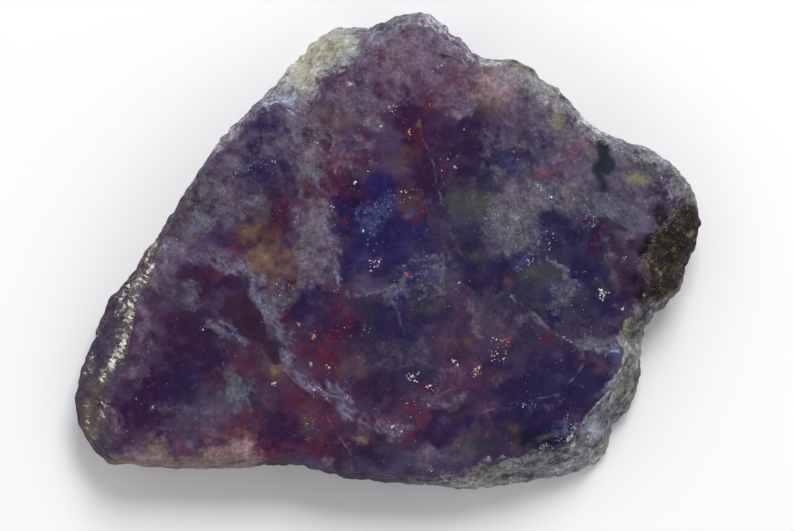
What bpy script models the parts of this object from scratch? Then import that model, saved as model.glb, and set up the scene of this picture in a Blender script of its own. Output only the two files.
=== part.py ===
# A hand-sized slab of violet stone, lying on its sawn underside with the polished face up.
# The polished face and the underside are flat; broken and ground flanks join them.
import math

import bmesh
import bpy
from mathutils import Vector, noise

MM = 0.001

# Driving dimensions, in millimetres. +X is the slab's length, +Y its width and +Z the polished face's normal.
THICKNESS = 6.5
SHOULDER_STEPS = 4
FLANK_STEPS = 4
SPOKES = 150
UNDERCUT_CURVE = 1.6
UNEVENNESS = 0.35
UNEVENNESS_PITCH = 3.2
FINE_SHARE = 0.4
FINE_PITCH = 1.1

# The widest outline, clockwise from the top peak.
OUTLINE = [
    (3.5, 23.9), (4.4, 23.5), (6.2, 22.0), (7.5, 21.0), (9.3, 19.2), (12.6, 19.1),
    (14.1, 18.5), (15.6, 17.1), (17.1, 16.1), (18.6, 14.7), (19.4, 13.4), (21.3, 11.9),
    (23.9, 10.8), (26.3, 10.1), (28.7, 8.5), (30.5, 6.4), (31.3, 4.2), (31.4, 1.5),
    (30.5, -0.7), (29.8, -2.4), (29.5, -3.8), (28.1, -5.3), (26.0, -7.7), (25.5, -9.8),
    (25.6, -12.0), (25.1, -14.5), (24.1, -16.5), (22.9, -17.5), (21.9, -20.7), (20.9, -21.7),
    (17.7, -22.8), (13.1, -23.5), (8.7, -24.1), (3.8, -23.7), (-4.2, -22.9), (-8.7, -21.6),
    (-12.4, -21.6), (-13.6, -21.9), (-21.6, -21.9), (-27.9, -21.5), (-29.5, -20.1), (-31.0, -17.6),
    (-31.4, -15.3), (-30.6, -11.5), (-28.9, -7.4), (-27.9, -4.9), (-26.2, -3.1), (-24.2, -0.2),
    (-21.9, 3.1), (-20.4, 5.6), (-18.2, 8.9), (-16.7, 11.2), (-13.0, 14.9), (-10.5, 17.3),
    (-9.8, 18.6), (-8.3, 19.8), (-6.7, 21.6), (-4.8, 22.4), (-1.9, 22.4), (0.4, 23.3),
]

# The edge of the polished face, clockwise from the top peak.
POLISHED_EDGE = [
    (2.5, 22.3), (3.8, 22.1), (5.0, 21.5), (6.0, 20.6), (7.3, 19.8), (9.4, 18.6),
    (12.5, 18.5), (13.8, 17.9), (15.2, 16.7), (16.8, 15.4), (18.3, 13.8), (18.9, 12.9),
    (21.2, 11.3), (23.7, 10.3), (26.8, 9.0), (28.9, 7.4), (29.9, 5.5), (28.6, 2.9),
    (27.0, 1.4), (26.3, -1.2), (26.4, -3.2), (25.0, -5.8), (23.6, -7.2), (23.0, -9.0),
    (23.8, -10.0), (23.6, -11.6), (22.2, -14.2), (19.8, -16.8), (18.6, -18.7), (18.1, -19.2),
    (15.7, -19.8), (13.8, -20.4), (10.7, -21.0), (7.4, -22.0), (2.5, -22.4), (-4.2, -22.0),
    (-8.7, -20.9), (-12.4, -20.8), (-17.4, -20.9), (-25.4, -20.9), (-27.4, -20.1), (-28.2, -17.5),
    (-27.4, -14.5), (-26.2, -11.4), (-25.5, -8.0), (-25.2, -6.2), (-23.7, -2.7), (-22.3, 1.2),
    (-20.8, 3.6), (-18.5, 7.2), (-15.5, 10.4), (-12.6, 13.5), (-10.6, 14.6), (-9.4, 13.9),
    (-8.3, 14.7), (-7.0, 16.7), (-4.7, 18.3), (-3.3, 18.7), (-2.1, 20.4), (0.4, 21.6),
]

# Bearing in degrees anticlockwise from +X, how far the outline lies below the polished face there,
# and how far the underside's edge is set in from the outline.
FLANKS = [
    (-166, 3.0, 1.0), (-143, 2.4, 1.4), (-120, 1.6, 1.6), (-97, 2.2, 1.4), (-75, 3.8, 0.8),
    (-50, 5.2, 0.5), (-30, 4.8, 0.6), (-18, 3.0, 1.2), (-5, 2.2, 1.6), (8, 1.8, 1.6),
    (25, 1.2, 1.5), (60, 1.2, 1.4), (85, 1.4, 1.2), (97, 2.8, 1.0), (112, 3.6, 0.8),
    (124, 2.6, 1.0), (140, 1.3, 1.4), (165, 1.5, 1.4), (180, 2.4, 1.2),
]


def bearing_of(point):
    return math.atan2(point[1], point[0])


def outline_radius(outline, bearing):
    """Distance from the centre to the outline along a bearing, where the ray crosses one straight side."""
    around = sorted(outline, key=bearing_of)
    for low, high in zip([around[-1]] + around[:-1], around):
        start = bearing_of(low)
        turn = (bearing_of(high) - start) % math.tau
        if (bearing - start) % math.tau <= turn:
            break
    along = Vector((math.cos(bearing), math.sin(bearing)))
    a, b = Vector(low), Vector(high)
    return a.cross(b - a) / along.cross(b - a)


def flank_at(bearing):
    """Drop and set-back of the flank at a bearing, between the two nearest entries of FLANKS."""
    degrees = math.degrees(bearing)
    for low, high in zip([FLANKS[-1]] + FLANKS[:-1], FLANKS):
        turn = (high[0] - low[0]) % 360
        share = ((degrees - low[0]) % 360) / turn
        if share <= 1:
            break
    share = share * share * (3 - 2 * share)
    return [a + (b - a) * share for a, b in zip(low[1:], high[1:])]


def broken(x, y, z):
    """Coarse and fine unevenness of a broken flank, about zero."""
    place = Vector((x, y, z))
    coarse, fine = noise.noise(place / UNEVENNESS_PITCH), noise.noise(place / FINE_PITCH)
    return UNEVENNESS * (coarse + FINE_SHARE * fine)


def spoke(bearing):
    """One profile of the slab, from the polished edge over the outline to the underside's edge."""
    edge = outline_radius(POLISHED_EDGE, bearing)
    widest = outline_radius(OUTLINE, bearing)
    drop, set_back = flank_at(bearing)
    across, up = math.cos(bearing), math.sin(bearing)
    profile = [(edge, THICKNESS, 0.0)]
    for step in range(1, SHOULDER_STEPS + 1):
        share = step / SHOULDER_STEPS
        profile.append((edge + (widest - edge) * share, THICKNESS - drop * share, share))
    for step in range(1, FLANK_STEPS + 1):
        share = step / FLANK_STEPS
        loose = 0.0 if step == FLANK_STEPS else 1.0
        profile.append((widest - set_back * share ** UNDERCUT_CURVE, (THICKNESS - drop) * (1 - share), loose))
    points = []
    for radius, height, loose in profile:
        reach = radius + loose * broken(radius * across, radius * up, height)
        points.append(Vector((reach * across, reach * up, height)))
    return points


def centred(spokes):
    """The same profiles, with the middle of their box over the origin."""
    for axis in (0, 1):
        values = [point[axis] for points in spokes for point in points]
        middle = (min(values) + max(values)) / 2
        for points in spokes:
            for point in points:
                point[axis] -= middle
    return spokes


def stone_material():
    material = bpy.data.materials.new("violet_stone")
    material.use_nodes = True
    shader = material.node_tree.nodes["Principled BSDF"]
    shader.inputs["Base Color"].default_value = (0.060, 0.045, 0.095, 1.0)
    shader.inputs["Roughness"].default_value = 0.3
    shader.inputs["Metallic"].default_value = 0.0
    return material


def slab_mesh():
    """A loft through the profiles, closed by the flat polished face and the flat underside."""
    spokes = centred([spoke(-math.pi + math.tau * index / SPOKES) for index in range(SPOKES)])
    shape = bmesh.new()
    grid = [[shape.verts.new(point * MM) for point in points] for points in spokes]
    for here, following in zip(grid, grid[1:] + grid[:1]):
        for level in range(len(here) - 1):
            shape.faces.new((here[level], here[level + 1], following[level + 1], following[level]))
    shape.faces.new([points[0] for points in grid])
    shape.faces.new([points[-1] for points in reversed(grid)])
    bmesh.ops.recalc_face_normals(shape, faces=shape.faces)
    mesh = bpy.data.meshes.new("slab")
    shape.to_mesh(mesh)
    shape.free()
    return mesh


def main():
    for thing in list(bpy.data.objects):
        bpy.data.objects.remove(thing, do_unlink=True)
    collection = bpy.data.collections.new("iolite_sunstone_slab")
    bpy.context.scene.collection.children.link(collection)
    slab = bpy.data.objects.new("slab", slab_mesh())
    slab.data.materials.append(stone_material())
    collection.objects.link(slab)


main()
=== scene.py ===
import itertools
import math

import bpy
import numpy as np
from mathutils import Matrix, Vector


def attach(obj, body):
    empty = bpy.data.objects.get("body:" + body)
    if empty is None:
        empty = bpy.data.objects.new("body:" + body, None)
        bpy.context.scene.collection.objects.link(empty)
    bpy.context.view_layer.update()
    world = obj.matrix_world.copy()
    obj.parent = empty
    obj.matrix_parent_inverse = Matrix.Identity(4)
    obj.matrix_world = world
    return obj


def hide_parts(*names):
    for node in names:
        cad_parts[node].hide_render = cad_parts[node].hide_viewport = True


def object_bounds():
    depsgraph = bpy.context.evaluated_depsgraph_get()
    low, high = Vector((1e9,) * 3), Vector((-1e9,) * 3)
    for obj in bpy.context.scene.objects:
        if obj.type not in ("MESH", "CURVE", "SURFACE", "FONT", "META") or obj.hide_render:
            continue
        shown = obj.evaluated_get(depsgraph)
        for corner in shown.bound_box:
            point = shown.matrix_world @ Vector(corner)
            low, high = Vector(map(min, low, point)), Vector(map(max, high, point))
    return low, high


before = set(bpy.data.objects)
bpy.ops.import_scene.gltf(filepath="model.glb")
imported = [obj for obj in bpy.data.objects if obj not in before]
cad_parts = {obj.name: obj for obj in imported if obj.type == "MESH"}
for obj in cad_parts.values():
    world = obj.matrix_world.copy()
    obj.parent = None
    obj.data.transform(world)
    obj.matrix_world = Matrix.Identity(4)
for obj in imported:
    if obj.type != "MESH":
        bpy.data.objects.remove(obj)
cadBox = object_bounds()
print("frame loaded, box", cadBox)

# Every length here is in millimetres, with +x to the right and +y up the slab as the camera sees it.
# The last step of a mesh turns it into metres.
millimetre = 0.001

slab = {
    "thickness": 6.5,
    "cells": 216,            # along each side of the square that is drawn out into the polished face
    "shoulderRings": 15,     # from the polished edge down to the widest outline
    "flankRings": 19,        # from there down to the sawn face
    "undercutCurve": 1.6,
    "leastShoulder": 0.25,   # from the polished edge out to the outline
    "raggedness": 0.15,      # how far the polished edge and the outline wander
    "raggedPitch": 0.9,
    "edgeRoll": 0.06,        # how far the polished face falls away at its rim
    "edgeRollWidth": 0.7,
    "scoopRoughness": 0.9,   # share of a scoop's depth
    "scoopPitch": 0.5,
    "scoopWander": 0.6,      # how far the scoops' borders wander, and over what length
    "scoopWanderPitch": 1.2,
    "hairlineDip": 0.03,
    "hairlineDipReach": 2.5,  # in half widths of the hairline
    "crustDip": 0.05,
    "crustRoughness": 0.25,
    "lumps": 0.42,           # broken flank: rounded lumps, flat facets, ledges along the edge, grains
    "lumpPitch": 3.6,
    "facets": 0.46,
    "facetPitch": 1.9,
    "facetSharpness": 9,
    "smallFacets": 0.35,     # strength beside the large ones, and how many times finer
    "smallFacetsFiner": 2.3,
    "ledges": 0.2,
    "ledgePitch": 0.85,
    "ledgeDrift": 2.24,      # how many ledges they wander up and down
    "ledgeDriftPitch": 2.4,
    "grains": 0.15,
    "grainPitch": 0.62,
    "grainSharpness": 6,
    "fine": 0.09,
    "finePitch": 0.27,
    "calmRim": 0.45,         # width of the strip beside both edges where the break settles down
    "evenColumns": 6,        # on each side, over which what sticks out is averaged
    "underTop": 0.02,        # the flank stays this far below the polished face
    "sawnShrinks": (0.985, 0.955, 0.9),  # the sawn face's rings, as shares of its edge
    "sharpAngle": 32,
}

# One number for each random pattern in the stone.
seeds = {
    "edge": 11, "outline": 12, "lumps": 21, "facets": 22, "ledges": 23, "grains": 24, "fine": 25,
    "smallFacets": 29, "scoops": 31, "scoopBorders": 32, "depth": 85,
}

# The widest outline, clockwise from the top peak.
outline = [
    (3.5, 23.9), (4.4, 23.5), (6.2, 22), (7.5, 21), (9.3, 19.2), (12.6, 19.1),
    (14.1, 18.5), (15.6, 17.1), (17.1, 16.1), (18.6, 14.7), (19.4, 13.4), (21.3, 11.9),
    (23.9, 10.8), (26.3, 10.1), (28.7, 8.5), (30.5, 6.4), (31.3, 4.2), (31.4, 1.5),
    (30.5, -0.7), (29.8, -2.4), (29.5, -3.8), (28.1, -5.3), (26, -7.7), (25.5, -9.8),
    (25.6, -12), (25.1, -14.5), (24.1, -16.5), (22.9, -17.5), (21.9, -20.7), (20.9, -21.7),
    (17.7, -22.8), (13.1, -23.5), (8.7, -24.1), (3.8, -23.7), (-4.2, -22.9), (-8.7, -21.6),
    (-12.4, -21.6), (-13.6, -21.9), (-21.6, -21.9), (-27.9, -21.5), (-29.5, -20.1), (-31, -17.6),
    (-31.4, -15.3), (-30.6, -11.5), (-28.9, -7.4), (-27.9, -4.9), (-26.2, -3.1), (-24.2, -0.2),
    (-21.9, 3.1), (-20.4, 5.6), (-18.2, 8.9), (-16.7, 11.2), (-13, 14.9), (-10.5, 17.3),
    (-9.8, 18.6), (-8.3, 19.8), (-6.7, 21.6), (-4.8, 22.4), (-1.9, 22.4), (0.4, 23.3),
]

# The edge of the polished face, clockwise from the top peak.
polishedEdge = [
    (2.5, 22.3), (3.8, 22.1), (5, 21.5), (6, 20.6), (7.3, 19.8), (9.4, 18.6),
    (12.5, 18.5), (13.8, 17.9), (15.2, 16.7), (16.8, 15.4), (18.3, 13.8), (18.9, 12.9),
    (21.2, 11.3), (23.7, 10.3), (26.8, 9), (28.9, 7.4), (29.9, 5.5), (28.6, 2.9),
    (27, 1.4), (26.3, -1.2), (26.4, -3.2), (25, -5.8), (23.6, -7.2), (23, -9),
    (23.8, -10), (23.6, -11.6), (22.2, -14.2), (19.8, -16.8), (18.6, -18.7), (18.1, -19.2),
    (15.7, -19.8), (13.8, -20.4), (10.7, -21), (7.4, -22), (2.5, -22.4), (-4.2, -22),
    (-8.7, -20.9), (-12.4, -20.8), (-17.4, -20.9), (-25.4, -20.9), (-27.4, -20.1), (-28.2, -17.5),
    (-27.4, -14.5), (-26.2, -11.4), (-25.5, -8), (-25.2, -6.2), (-23.7, -2.7), (-22.3, 1.2),
    (-20.8, 3.6), (-18.5, 7.2), (-15.5, 10.4), (-12.6, 13.5), (-10.6, 14.6), (-9.4, 13.9),
    (-8.3, 14.7), (-7, 16.7), (-4.7, 18.3), (-3.3, 18.7), (-2.1, 20.4), (0.4, 21.6),
]

# Bearing in degrees anticlockwise from +x, how far the outline lies below the polished face there,
# how far the sawn face's edge is set in from the outline, how strongly the flank is broken, and how
# roundly the shoulder rolls off (1 is a straight bevel).
flanks = [
    (-166, 3, 1, 0.5, 1.25), (-143, 2.4, 1.4, 0.35, 1.2), (-120, 1.6, 1.6, 0.35, 1.9),
    (-97, 2.2, 1.4, 0.5, 1.9), (-75, 3.8, 0.8, 0.6, 1.9), (-50, 5.2, 0.5, 0.7, 1.15),
    (-30, 4.8, 0.6, 0.8, 1), (-18, 3, 1.2, 1, 1.3), (-5, 2.2, 1.6, 0.9, 1.8), (8, 1.8, 1.6, 0.8, 1.9),
    (25, 1.2, 1.5, 0.7, 1.8), (60, 1.2, 1.4, 0.7, 1.8), (85, 1.4, 1.2, 0.6, 1.8), (97, 2.8, 1, 0.8, 1.4),
    (112, 3.6, 0.8, 0.8, 1.3), (124, 2.6, 1, 0.7, 1.4), (140, 1.3, 1.4, 0.5, 1.7),
    (165, 1.5, 1.4, 0.5, 1.5), (180, 2.4, 1.2, 0.6, 1.3),
]

# Bearing, then how much grey grit, cream sugar, pale mauve and rusty bark the flank shows there, and
# from how far inside the polished edge to how far outside it their grains grow.
flankTones = [
    (-166, 0.06, 0, 0, 0, 0.3, 0.3), (-150, 0.12, 0, 0.06, 0, 0.4, 0.6), (-140, 0.1, 0, 0.2, 0, 0.3, 0.6),
    (-125, 0, 0, 0.05, 0, 0.2, 0.4), (-105, 0, 0, 0, 0, 0.2, 0.4), (-92, 0.1, 0, 0.1, 0, 0.2, 0.6),
    (-80, 0.36, 0, 0, 0.05, 0.9, 0.9), (-66, 0.74, 0.05, 0, 0, 1, 0.8), (-50, 1, 0, 0, 0, 0.15, 0.1),
    (-26, 1, 0.1, 0, 0, 0.15, 0.1), (-19, 0.95, 0.1, 0, 0.15, 0.4, 0.6),
    (-12, 0.9, 0.2, 0, 0.5, 0.6, 1.4), (-4, 0.2, 0.1, 0, 0.95, 1.9, 0.9), (5, 0.12, 0.05, 0, 1, 1.4, 0.9),
    (10, 0.6, 0.1, 0, 0.4, 0.5, 0.9), (14, 0.5, 0.05, 0.25, 0.3, 1.2, 0.9),
    (24, 0.65, 0.05, 0.4, 0.2, 1.8, 0.9), (36, 0.8, 0.05, 0.5, 0.05, 1.6, 0.8),
    (50, 0.85, 0.1, 0.3, 0, 2, 0.8), (60, 0.5, 0.15, 0.55, 0, 1, 0.8), (70, 0.25, 0, 0.6, 0, 0.5, 1),
    (82, 0.35, 0.1, 0.75, 0, 0.8, 0.8), (90, 0.45, 0.2, 0.75, 0, 1, 0.8), (97, 0.5, 0.45, 0.4, 0, 0.9, 1),
    (104, 0.1, 1, 0.1, 0, 0.9, 1.4), (116, 0.1, 0.9, 0.3, 0, 1, 1.6), (121, 0.3, 0.5, 0.7, 0, 1, 1.2),
    (128, 0.3, 0.1, 0.65, 0, 0.5, 0.8), (140, 0.25, 0, 0.55, 0, 0.4, 0.8),
    (155, 0.3, 0, 0.4, 0, 0.4, 0.8), (170, 0.2, 0, 0.2, 0, 0.4, 0.6), (180, 0.15, 0, 0.1, 0, 0.3, 0.4),
]

# Clouds in the stone, as x, y, two radii and, where they aren't 100 and 0, strength in percent and turn
# in degrees.
clouds = {}
clouds["warm"] = [
    (-4, -14.4, 6, 4, 50), (-10, -19.4, 5, 1.4, 80), (-2, 6.5, 6, 2.6, 70), (-16, -0.8, 7, 1.8, 70),
    (8, -14, 4, 5, 70), (-3, -7, 3, 2, 30), (9.5, 17, 4, 2, 60), (-22, -13, 3, 2, 70),
    (16, -10.2, 3, 1.4, 80), (-8, 1, 3, 6, 30), (7, -6.6, 2.6, 1.4, 70), (2, 13, 4, 4, 50),
    (1, 18, 7, 4.5, 50),
]
clouds["cool"] = [
    (17, 5, 9, 5, 45), (20, -4, 5, 4.6, 75), (-22, -4.4, 4, 1.8, 70), (-19, 5, 2.6, 2.4, 70),
    (-14.6, -14.6, 2.6, 3, 90), (15, 12, 8, 3, 15), (-13, -10, 3, 1.6, 50), (-1, -19.4, 2, 1.2, 60),
]
clouds["slate"] = [
    (10, 1, 9, 7, 60), (14, -6, 8, 5, 50), (2, -9, 5.5, 5, 70), (20, 4, 6, 5, 40), (14, 9.5, 6, 3.5, 40),
    (0, -21, 6, 2, 50), (10, -19, 5, 2.2, 50), (-2, 14, 4, 4, 25), (24.5, 8, 3.5, 2.5, 40),
    (3, -2, 4, 3, 50), (-19, -14.5, 3, 2, 30), (16, 4, 3, 2.5, 40), (17, -4, 2.4, 2, 70),
    (14, -9, 4, 2.6, 40), (17, -13.2, 1.8, 1.2, 50), (20.6, -0.8, 1.6, 1.2, 30), (2, -7, 2.2, 1.4, 50),
    (17.5, -8, 1.9, 6, 35), (22.6, -2, 1.8, 2.6, 35),
]
clouds["mist"] = [
    (2, 20.5, 6, 3, 78), (11.5, 17.5, 4.5, 2, 90), (16, 14.5, 3.5, 3, 45), (20, 11, 3.5, 2.6, 55),
    (17.5, 7.5, 4, 2.2, 45), (22.5, 7, 4, 3, 35), (-4, 15.5, 5, 2.5, 50), (-9.5, 11, 3, 3, 60),
    (-14.8, 9.8, 1.8, 3.4, 30, -40), (-2.5, 18, 2, 1.6, 60), (-16, 6, 3.2, 2.8, 38),
    (14.3, 5, 2.6, 1.8, 80), (-20.5, 1.5, 3, 3, 40), (-12, -3, 3, 2.5, 35), (11, 16.5, 4.5, 2.2, 80),
    (-22.3, -2.6, 2.2, 2.6, 50), (-6, 10.5, 3, 4, 15), (23, 8, 2, 2, 30), (13.5, 16.2, 3, 1.8, 60),
    (9, 17.6, 2.6, 1.6, 70), (-25, -8, 2, 5, 20), (-19, -18, 5, 2.4, 15), (-7, -1, 3, 3, 25),
    (12, 11, 3.5, 2, 40), (5, 17, 4, 2.5, 40), (-13, 9, 2.5, 3, 10), (-15.8, 2.6, 1.6, 1.4, 40),
    (-10, 6.6, 1.4, 1.2, 20), (-3.8, 8.8, 1.4, 1.2, 50), (-8.4, 13.4, 2, 0.9, 50),
    (0.4, 14.4, 2.2, 0.9, 40), (18.6, 11.2, 2.2, 0.9, 40), (16.8, 14.4, 1.6, 1.2, 60),
    (-1, 20.6, 1.6, 1.2, 40), (11, 7.6, 1.4, 1, 25), (11, 16.8, 2.4, 1.2, 60), (-9.8, 2, 1.2, 1.2, 30),
    (-16, 5, 1.2, 1, 30), (17.2, -13, 1.2, 0.9, 25), (10.8, -16, 1.2, 0.9, 25), (23.2, 9.3, 1.7, 1, 40),
    (-15.6, 8.6, 1.6, 1.2, 40), (-7.2, -3.8, 1.3, 0.8, 35), (5.4, 20.3, 1.7, 1.1, 60),
    (1.4, 20.8, 3, 1.4, 40),
]
clouds["ember"] = [
    (-12, -18, 7, 3, 40), (-5, -20, 5, 1.6, 10), (-6, -10, 4, 4.5, 20), (-13, -1, 3.5, 3, 30),
    (2, -17.5, 4, 2.5, 40), (2, 15, 5, 4, 25), (-16, -2, 4, 2, 15), (9, -12, 5, 3.5, 25),
    (-5, 8, 2.5, 3.5, 45), (-10.5, 4.5, 1.6, 3, 40), (-6.5, -4, 3, 1.8, 30), (-14, -19.8, 8, 2, 50),
    (-10, -13.5, 3.5, 1.8, 35), (-10, -7, 2.4, 2, 35), (6.5, 16, 3, 2.4, 45), (-21, -19.5, 6, 2, 15),
    (-8, -6, 5, 4, 10), (-13.5, -12.5, 2.6, 1.6, 35), (-24, -19.5, 3, 1.4, 10),
    (-11.6, -19.6, 2.4, 1, 35), (-7.4, 4.8, 1.2, 1.6, 50), (-9, -1, 1.4, 1.4, 30),
    (-7, -14.6, 1.8, 5, 35),
]
clouds["amber"] = [
    (-12.3, -0.8, 1.7, 1.3, 90), (-10.2, -0.8, 1.5, 1.6, 60), (-12.4, 1.6, 2.4, 2.4, 35),
    (-14, 2, 1.4, 1.6, 40), (-11, -11.8, 0.8, 1, 70), (13.4, -18.8, 0.8, 1, 60),
    (-2.6, -12.2, 2, 1.4, 20), (27.6, -2.4, 1.2, 0.7, 90), (-29.4, -14, 1.4, 2.4, 60),
    (-29.8, -17.2, 1.2, 1.6, 80), (30.2, 1.4, 0.7, 0.6, 60), (-13.4, -1.4, 1.4, 0.9, 40),
    (-5.4, 13.4, 2.4, 1.4, 22), (1.6, 18.4, 1.6, 2, 18), (14, 2.8, 1.2, 0.6, 25),
]
# Night is the stone's darkest blue. The first three rows and the last two, round the chipped corner at the
# lower right, also paint shade into the broken hollow.
clouds["night"] = [
    (16.7, -19.1, 2.5, 1.3, 100, 10), (18, -18.2, 1.1, 0.8, 90, 35), (14.4, -18.8, 1.8, 0.7, 60),
    (-1.4, 2.4, 3, 3, 30), (-3.4, 4.8, 1.2, 1.2, 60), (21.7, 6.9, 0.8, 1.2, 75),
    (18.8, -13.8, 2.4, 1, 15), (8, 8, 1.2, 1.4, 40), (15, -2.6, 1.4, 0.8, 30),
    (18.4, -18.9, 1, 0.5, 50, 30), (17.1, -19, 1.8, 0.8, 50, 12),
]
clouds["wine"] = [
    (-21, -8, 7, 6, 60), (-11.2, -18.6, 3.2, 2), (-6, -10.5, 2.6, 3, 45), (-8, -16, 3, 2.6, 80),
    (3.6, 8.5, 2, 3.6, 80), (3, 14, 3, 3, 70), (-5, 6.5, 2, 2.6, 60), (7, -7.5, 2.4, 2, 50),
    (13.5, -17.5, 3, 2, 60), (-18, -2.5, 3.4, 1.4, 50), (5.5, -14, 4, 2, 50), (6.5, 17, 2.4, 2.2, 70),
    (-14.5, -10.5, 2.4, 2, 80), (23.8, -1, 2.4, 2.6, 45), (-25, -16.5, 2.8, 3.4, 70),
    (-11, 3.4, 1.8, 2.8, 70), (11.6, 12.4, 3, 2, 50), (15.3, 7.4, 2.4, 1.2, 50),
    (-14.5, -17.6, 1.6, 2, 40), (21, 1, 1.6, 2.2, 60), (-2.6, -19.8, 3.6, 1.4, 30),
    (2.6, -17, 2.4, 2, 50), (10, -9, 2.6, 2, 40), (16.6, -8.8, 1.6, 1.4, 50), (-1, 9.2, 3, 1.6, 50),
    (-2.8, 11.8, 3, 1.2, 40), (-10.4, 5, 1.2, 1.6, 30), (-4, -8, 1.8, 1.8, 60),
    (-2.5, -14.6, 2.6, 1.6, 60), (-16.5, -7.4, 1.2, 1, 50), (6.5, -19.6, 2.4, 1.2, 60),
    (-4, -10.2, 1.8, 1.6, 45), (-5.6, -13.2, 1.6, 0.8, 50), (-4.2, 5, 1.8, 1, 50),
    (-7.2, 5.2, 1.2, 1.2, 50), (-12.6, -19.4, 1.6, 0.8, 50), (-5.6, -7.2, 1.8, 1.4, 40),
    (-10.6, -12.8, 1.4, 1.2, 40), (-12.6, 8, 1.2, 1.2, 40),
]
clouds["azure"] = [
    (-1.4, 3.2, 1.3, 1.8, 90, -30), (-0.5, 4.8, 1, 0.8, 60), (3.2, -1.6, 2.2, 0.6, 70, 25),
    (5, -2.8, 1.5, 0.9, 60), (1, -4, 0.8, 1.6, 50), (-2, -8.1, 0.6, 0.5, 80), (14.2, -1, 1.3, 1, 80),
    (16.5, -3.9, 1, 0.8, 80), (12, 8.9, 1.8, 0.6, 70, -35), (-14, 8.3, 0.8, 1.2, 60),
    (20.4, 2.6, 0.8, 0.8, 60), (15.6, 2.4, 0.9, 1.4, 70), (-19.6, 2.2, 1, 0.7, 70),
    (17.8, -17.4, 1.6, 0.8, 80, 40), (15, -15.4, 2.4, 0.5, 60, 12), (22.6, -10.2, 0.9, 0.5, 80),
    (8, 14.6, 1.4, 0.7, 40), (-16.2, -7.9, 1.2, 0.6, 50, -25), (-11.6, -6.2, 1, 1.4, 40),
    (5.4, 6.4, 0.7, 1.6, 40), (-17.4, -1, 1.8, 0.5, 40), (9.6, 1.9, 1.4, 0.5, 50),
    (18, -18.5, 0.7, 0.5, 70, 40), (4.6, 20.2, 1.6, 1, 40), (-0.6, 19.8, 1, 0.7, 30),
]
clouds["steel"] = [
    (0.4, -8.4, 3, 4.4, 80), (1.2, -12.6, 3.4, 2.2, 70), (4.6, -7.4, 3.2, 2.4, 70),
    (-2, -6.8, 1.6, 2, 60), (12.6, -1.2, 3.6, 2.4, 60), (8.2, 0, 2.4, 3.2, 70), (15, -6, 2.8, 2, 50),
    (16.6, -10.8, 3.2, 2, 60), (20, -6.6, 2.6, 2, 50), (11, 9.2, 3.4, 2, 60), (-13.4, 5, 2, 1.6, 20),
    (-2.4, 16, 2.2, 2.4, 60), (7.6, 4.6, 3, 2.2, 50), (8, -14.6, 2.6, 1.6, 40), (17.4, 1, 3, 3, 50),
    (10.2, -19.4, 2.6, 1.6, 60), (0, -21.2, 3.2, 1.2, 60), (12.6, -15.8, 2.4, 1, 40),
    (-20.6, -15, 2, 1.6, 40), (1.8, -1, 3, 1.6, 60), (-1.2, -7, 2.2, 3, 50), (13.5, -5, 2.8, 2.6, 70),
    (13.5, -9.6, 2.4, 1.6, 50), (-0.8, 5.4, 1.4, 1.2, 90), (2, -6.8, 2.2, 1.4, 40),
    (20.4, -1, 1.8, 1.4, 40), (14.4, 5, 1.2, 1, 20), (-5, -7.4, 1.4, 1.2, 50),
]
clouds["plum"] = [
    (-22.8, -13.2, 2.6, 2.2), (-24.6, -16, 2.6, 1.8, 80), (-20.2, -9, 4.2, 3, 55),
    (-17.4, -10.8, 2.6, 1.8, 80), (-14.2, -2.8, 2.2, 1.3), (-18.5, -3.2, 2.6, 1, 70),
    (-16.8, 3, 1.4, 1.4), (-11.5, 9.2, 2.6, 3, 90), (-10.6, 3.4, 1.2, 2, 75), (7.4, 11, 2.7, 2.2, 100),
    (8, 7.4, 1.5, 1.2), (3.4, 10.2, 1.4, 2.4), (3.6, 7.4, 1.6, 1.4, 80), (-3.6, 5.6, 1.4, 1.6),
    (-4, 2.6, 1, 2, 70), (-2.4, 17.6, 1.8, 1.6, 70), (2.2, 13.6, 1.8, 1.4, 90), (14.5, -17, 4.2, 1.7),
    (18.2, -15.6, 3.2, 1, 90), (12.5, -13.4, 3, 1.6, 60), (16.8, 4, 1.6, 1), (15.8, 7.2, 2, 1, 80),
    (21.2, 1.2, 1.2, 1.8, 90), (24.5, 1, 1.6, 1.4, 50), (23.6, -4.2, 1.6, 1.6, 80),
    (22.6, -7.6, 1.4, 1.2, 60), (-11.2, -18.6, 2.4, 2.2, 80), (-8, -19.2, 2, 1.2, 60),
    (-2.5, -20.3, 2.4, 1, 60), (3.4, -7.2, 3, 1.6, 35), (0.9, -11, 0.75, 0.65),
    (-0.5, -13.6, 2.6, 1.4, 60), (5.2, -18.6, 1.6, 1.4, 80), (-3.5, -8.5, 1.5, 1.6, 50),
    (11.5, 12, 3, 2, 50), (-5, 7, 1.2, 1.6, 70), (-20, -1.6, 2.4, 0.8, 50), (0.6, 6.2, 2.2, 1.6, 60),
    (-16.6, -6.6, 1.4, 1.2, 60), (-1, -15.6, 1.8, 1.4, 60), (-3.6, -7.6, 1.4, 1.2, 85),
    (3.4, 5.6, 2.4, 1.6, 70), (5, -16, 1.6, 1.2, 60), (3.6, -19, 2.2, 1, 70), (6, -1.2, 1.2, 1, 40),
    (-11.2, -13.4, 1.2, 0.9, 40), (-1.6, 5, 1.4, 1, 40), (11.2, -10.2, 1.2, 0.9, 40),
    (8.6, 11.4, 1.6, 1.4, 60), (2.4, 2.6, 1.4, 1.2, 50), (5.4, 17.4, 1.4, 1, 40),
    (-4.2, 4.6, 1.2, 1.2, 60), (-5.6, -7.2, 2, 1.2, 50), (-12.8, 8.2, 1.2, 1.2, 50),
    (-2.3, 18.8, 1.2, 2, 50), (2.2, 15.3, 1.7, 1.2, 50), (-4.8, 17, 1.5, 1.1, 35),
]
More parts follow.
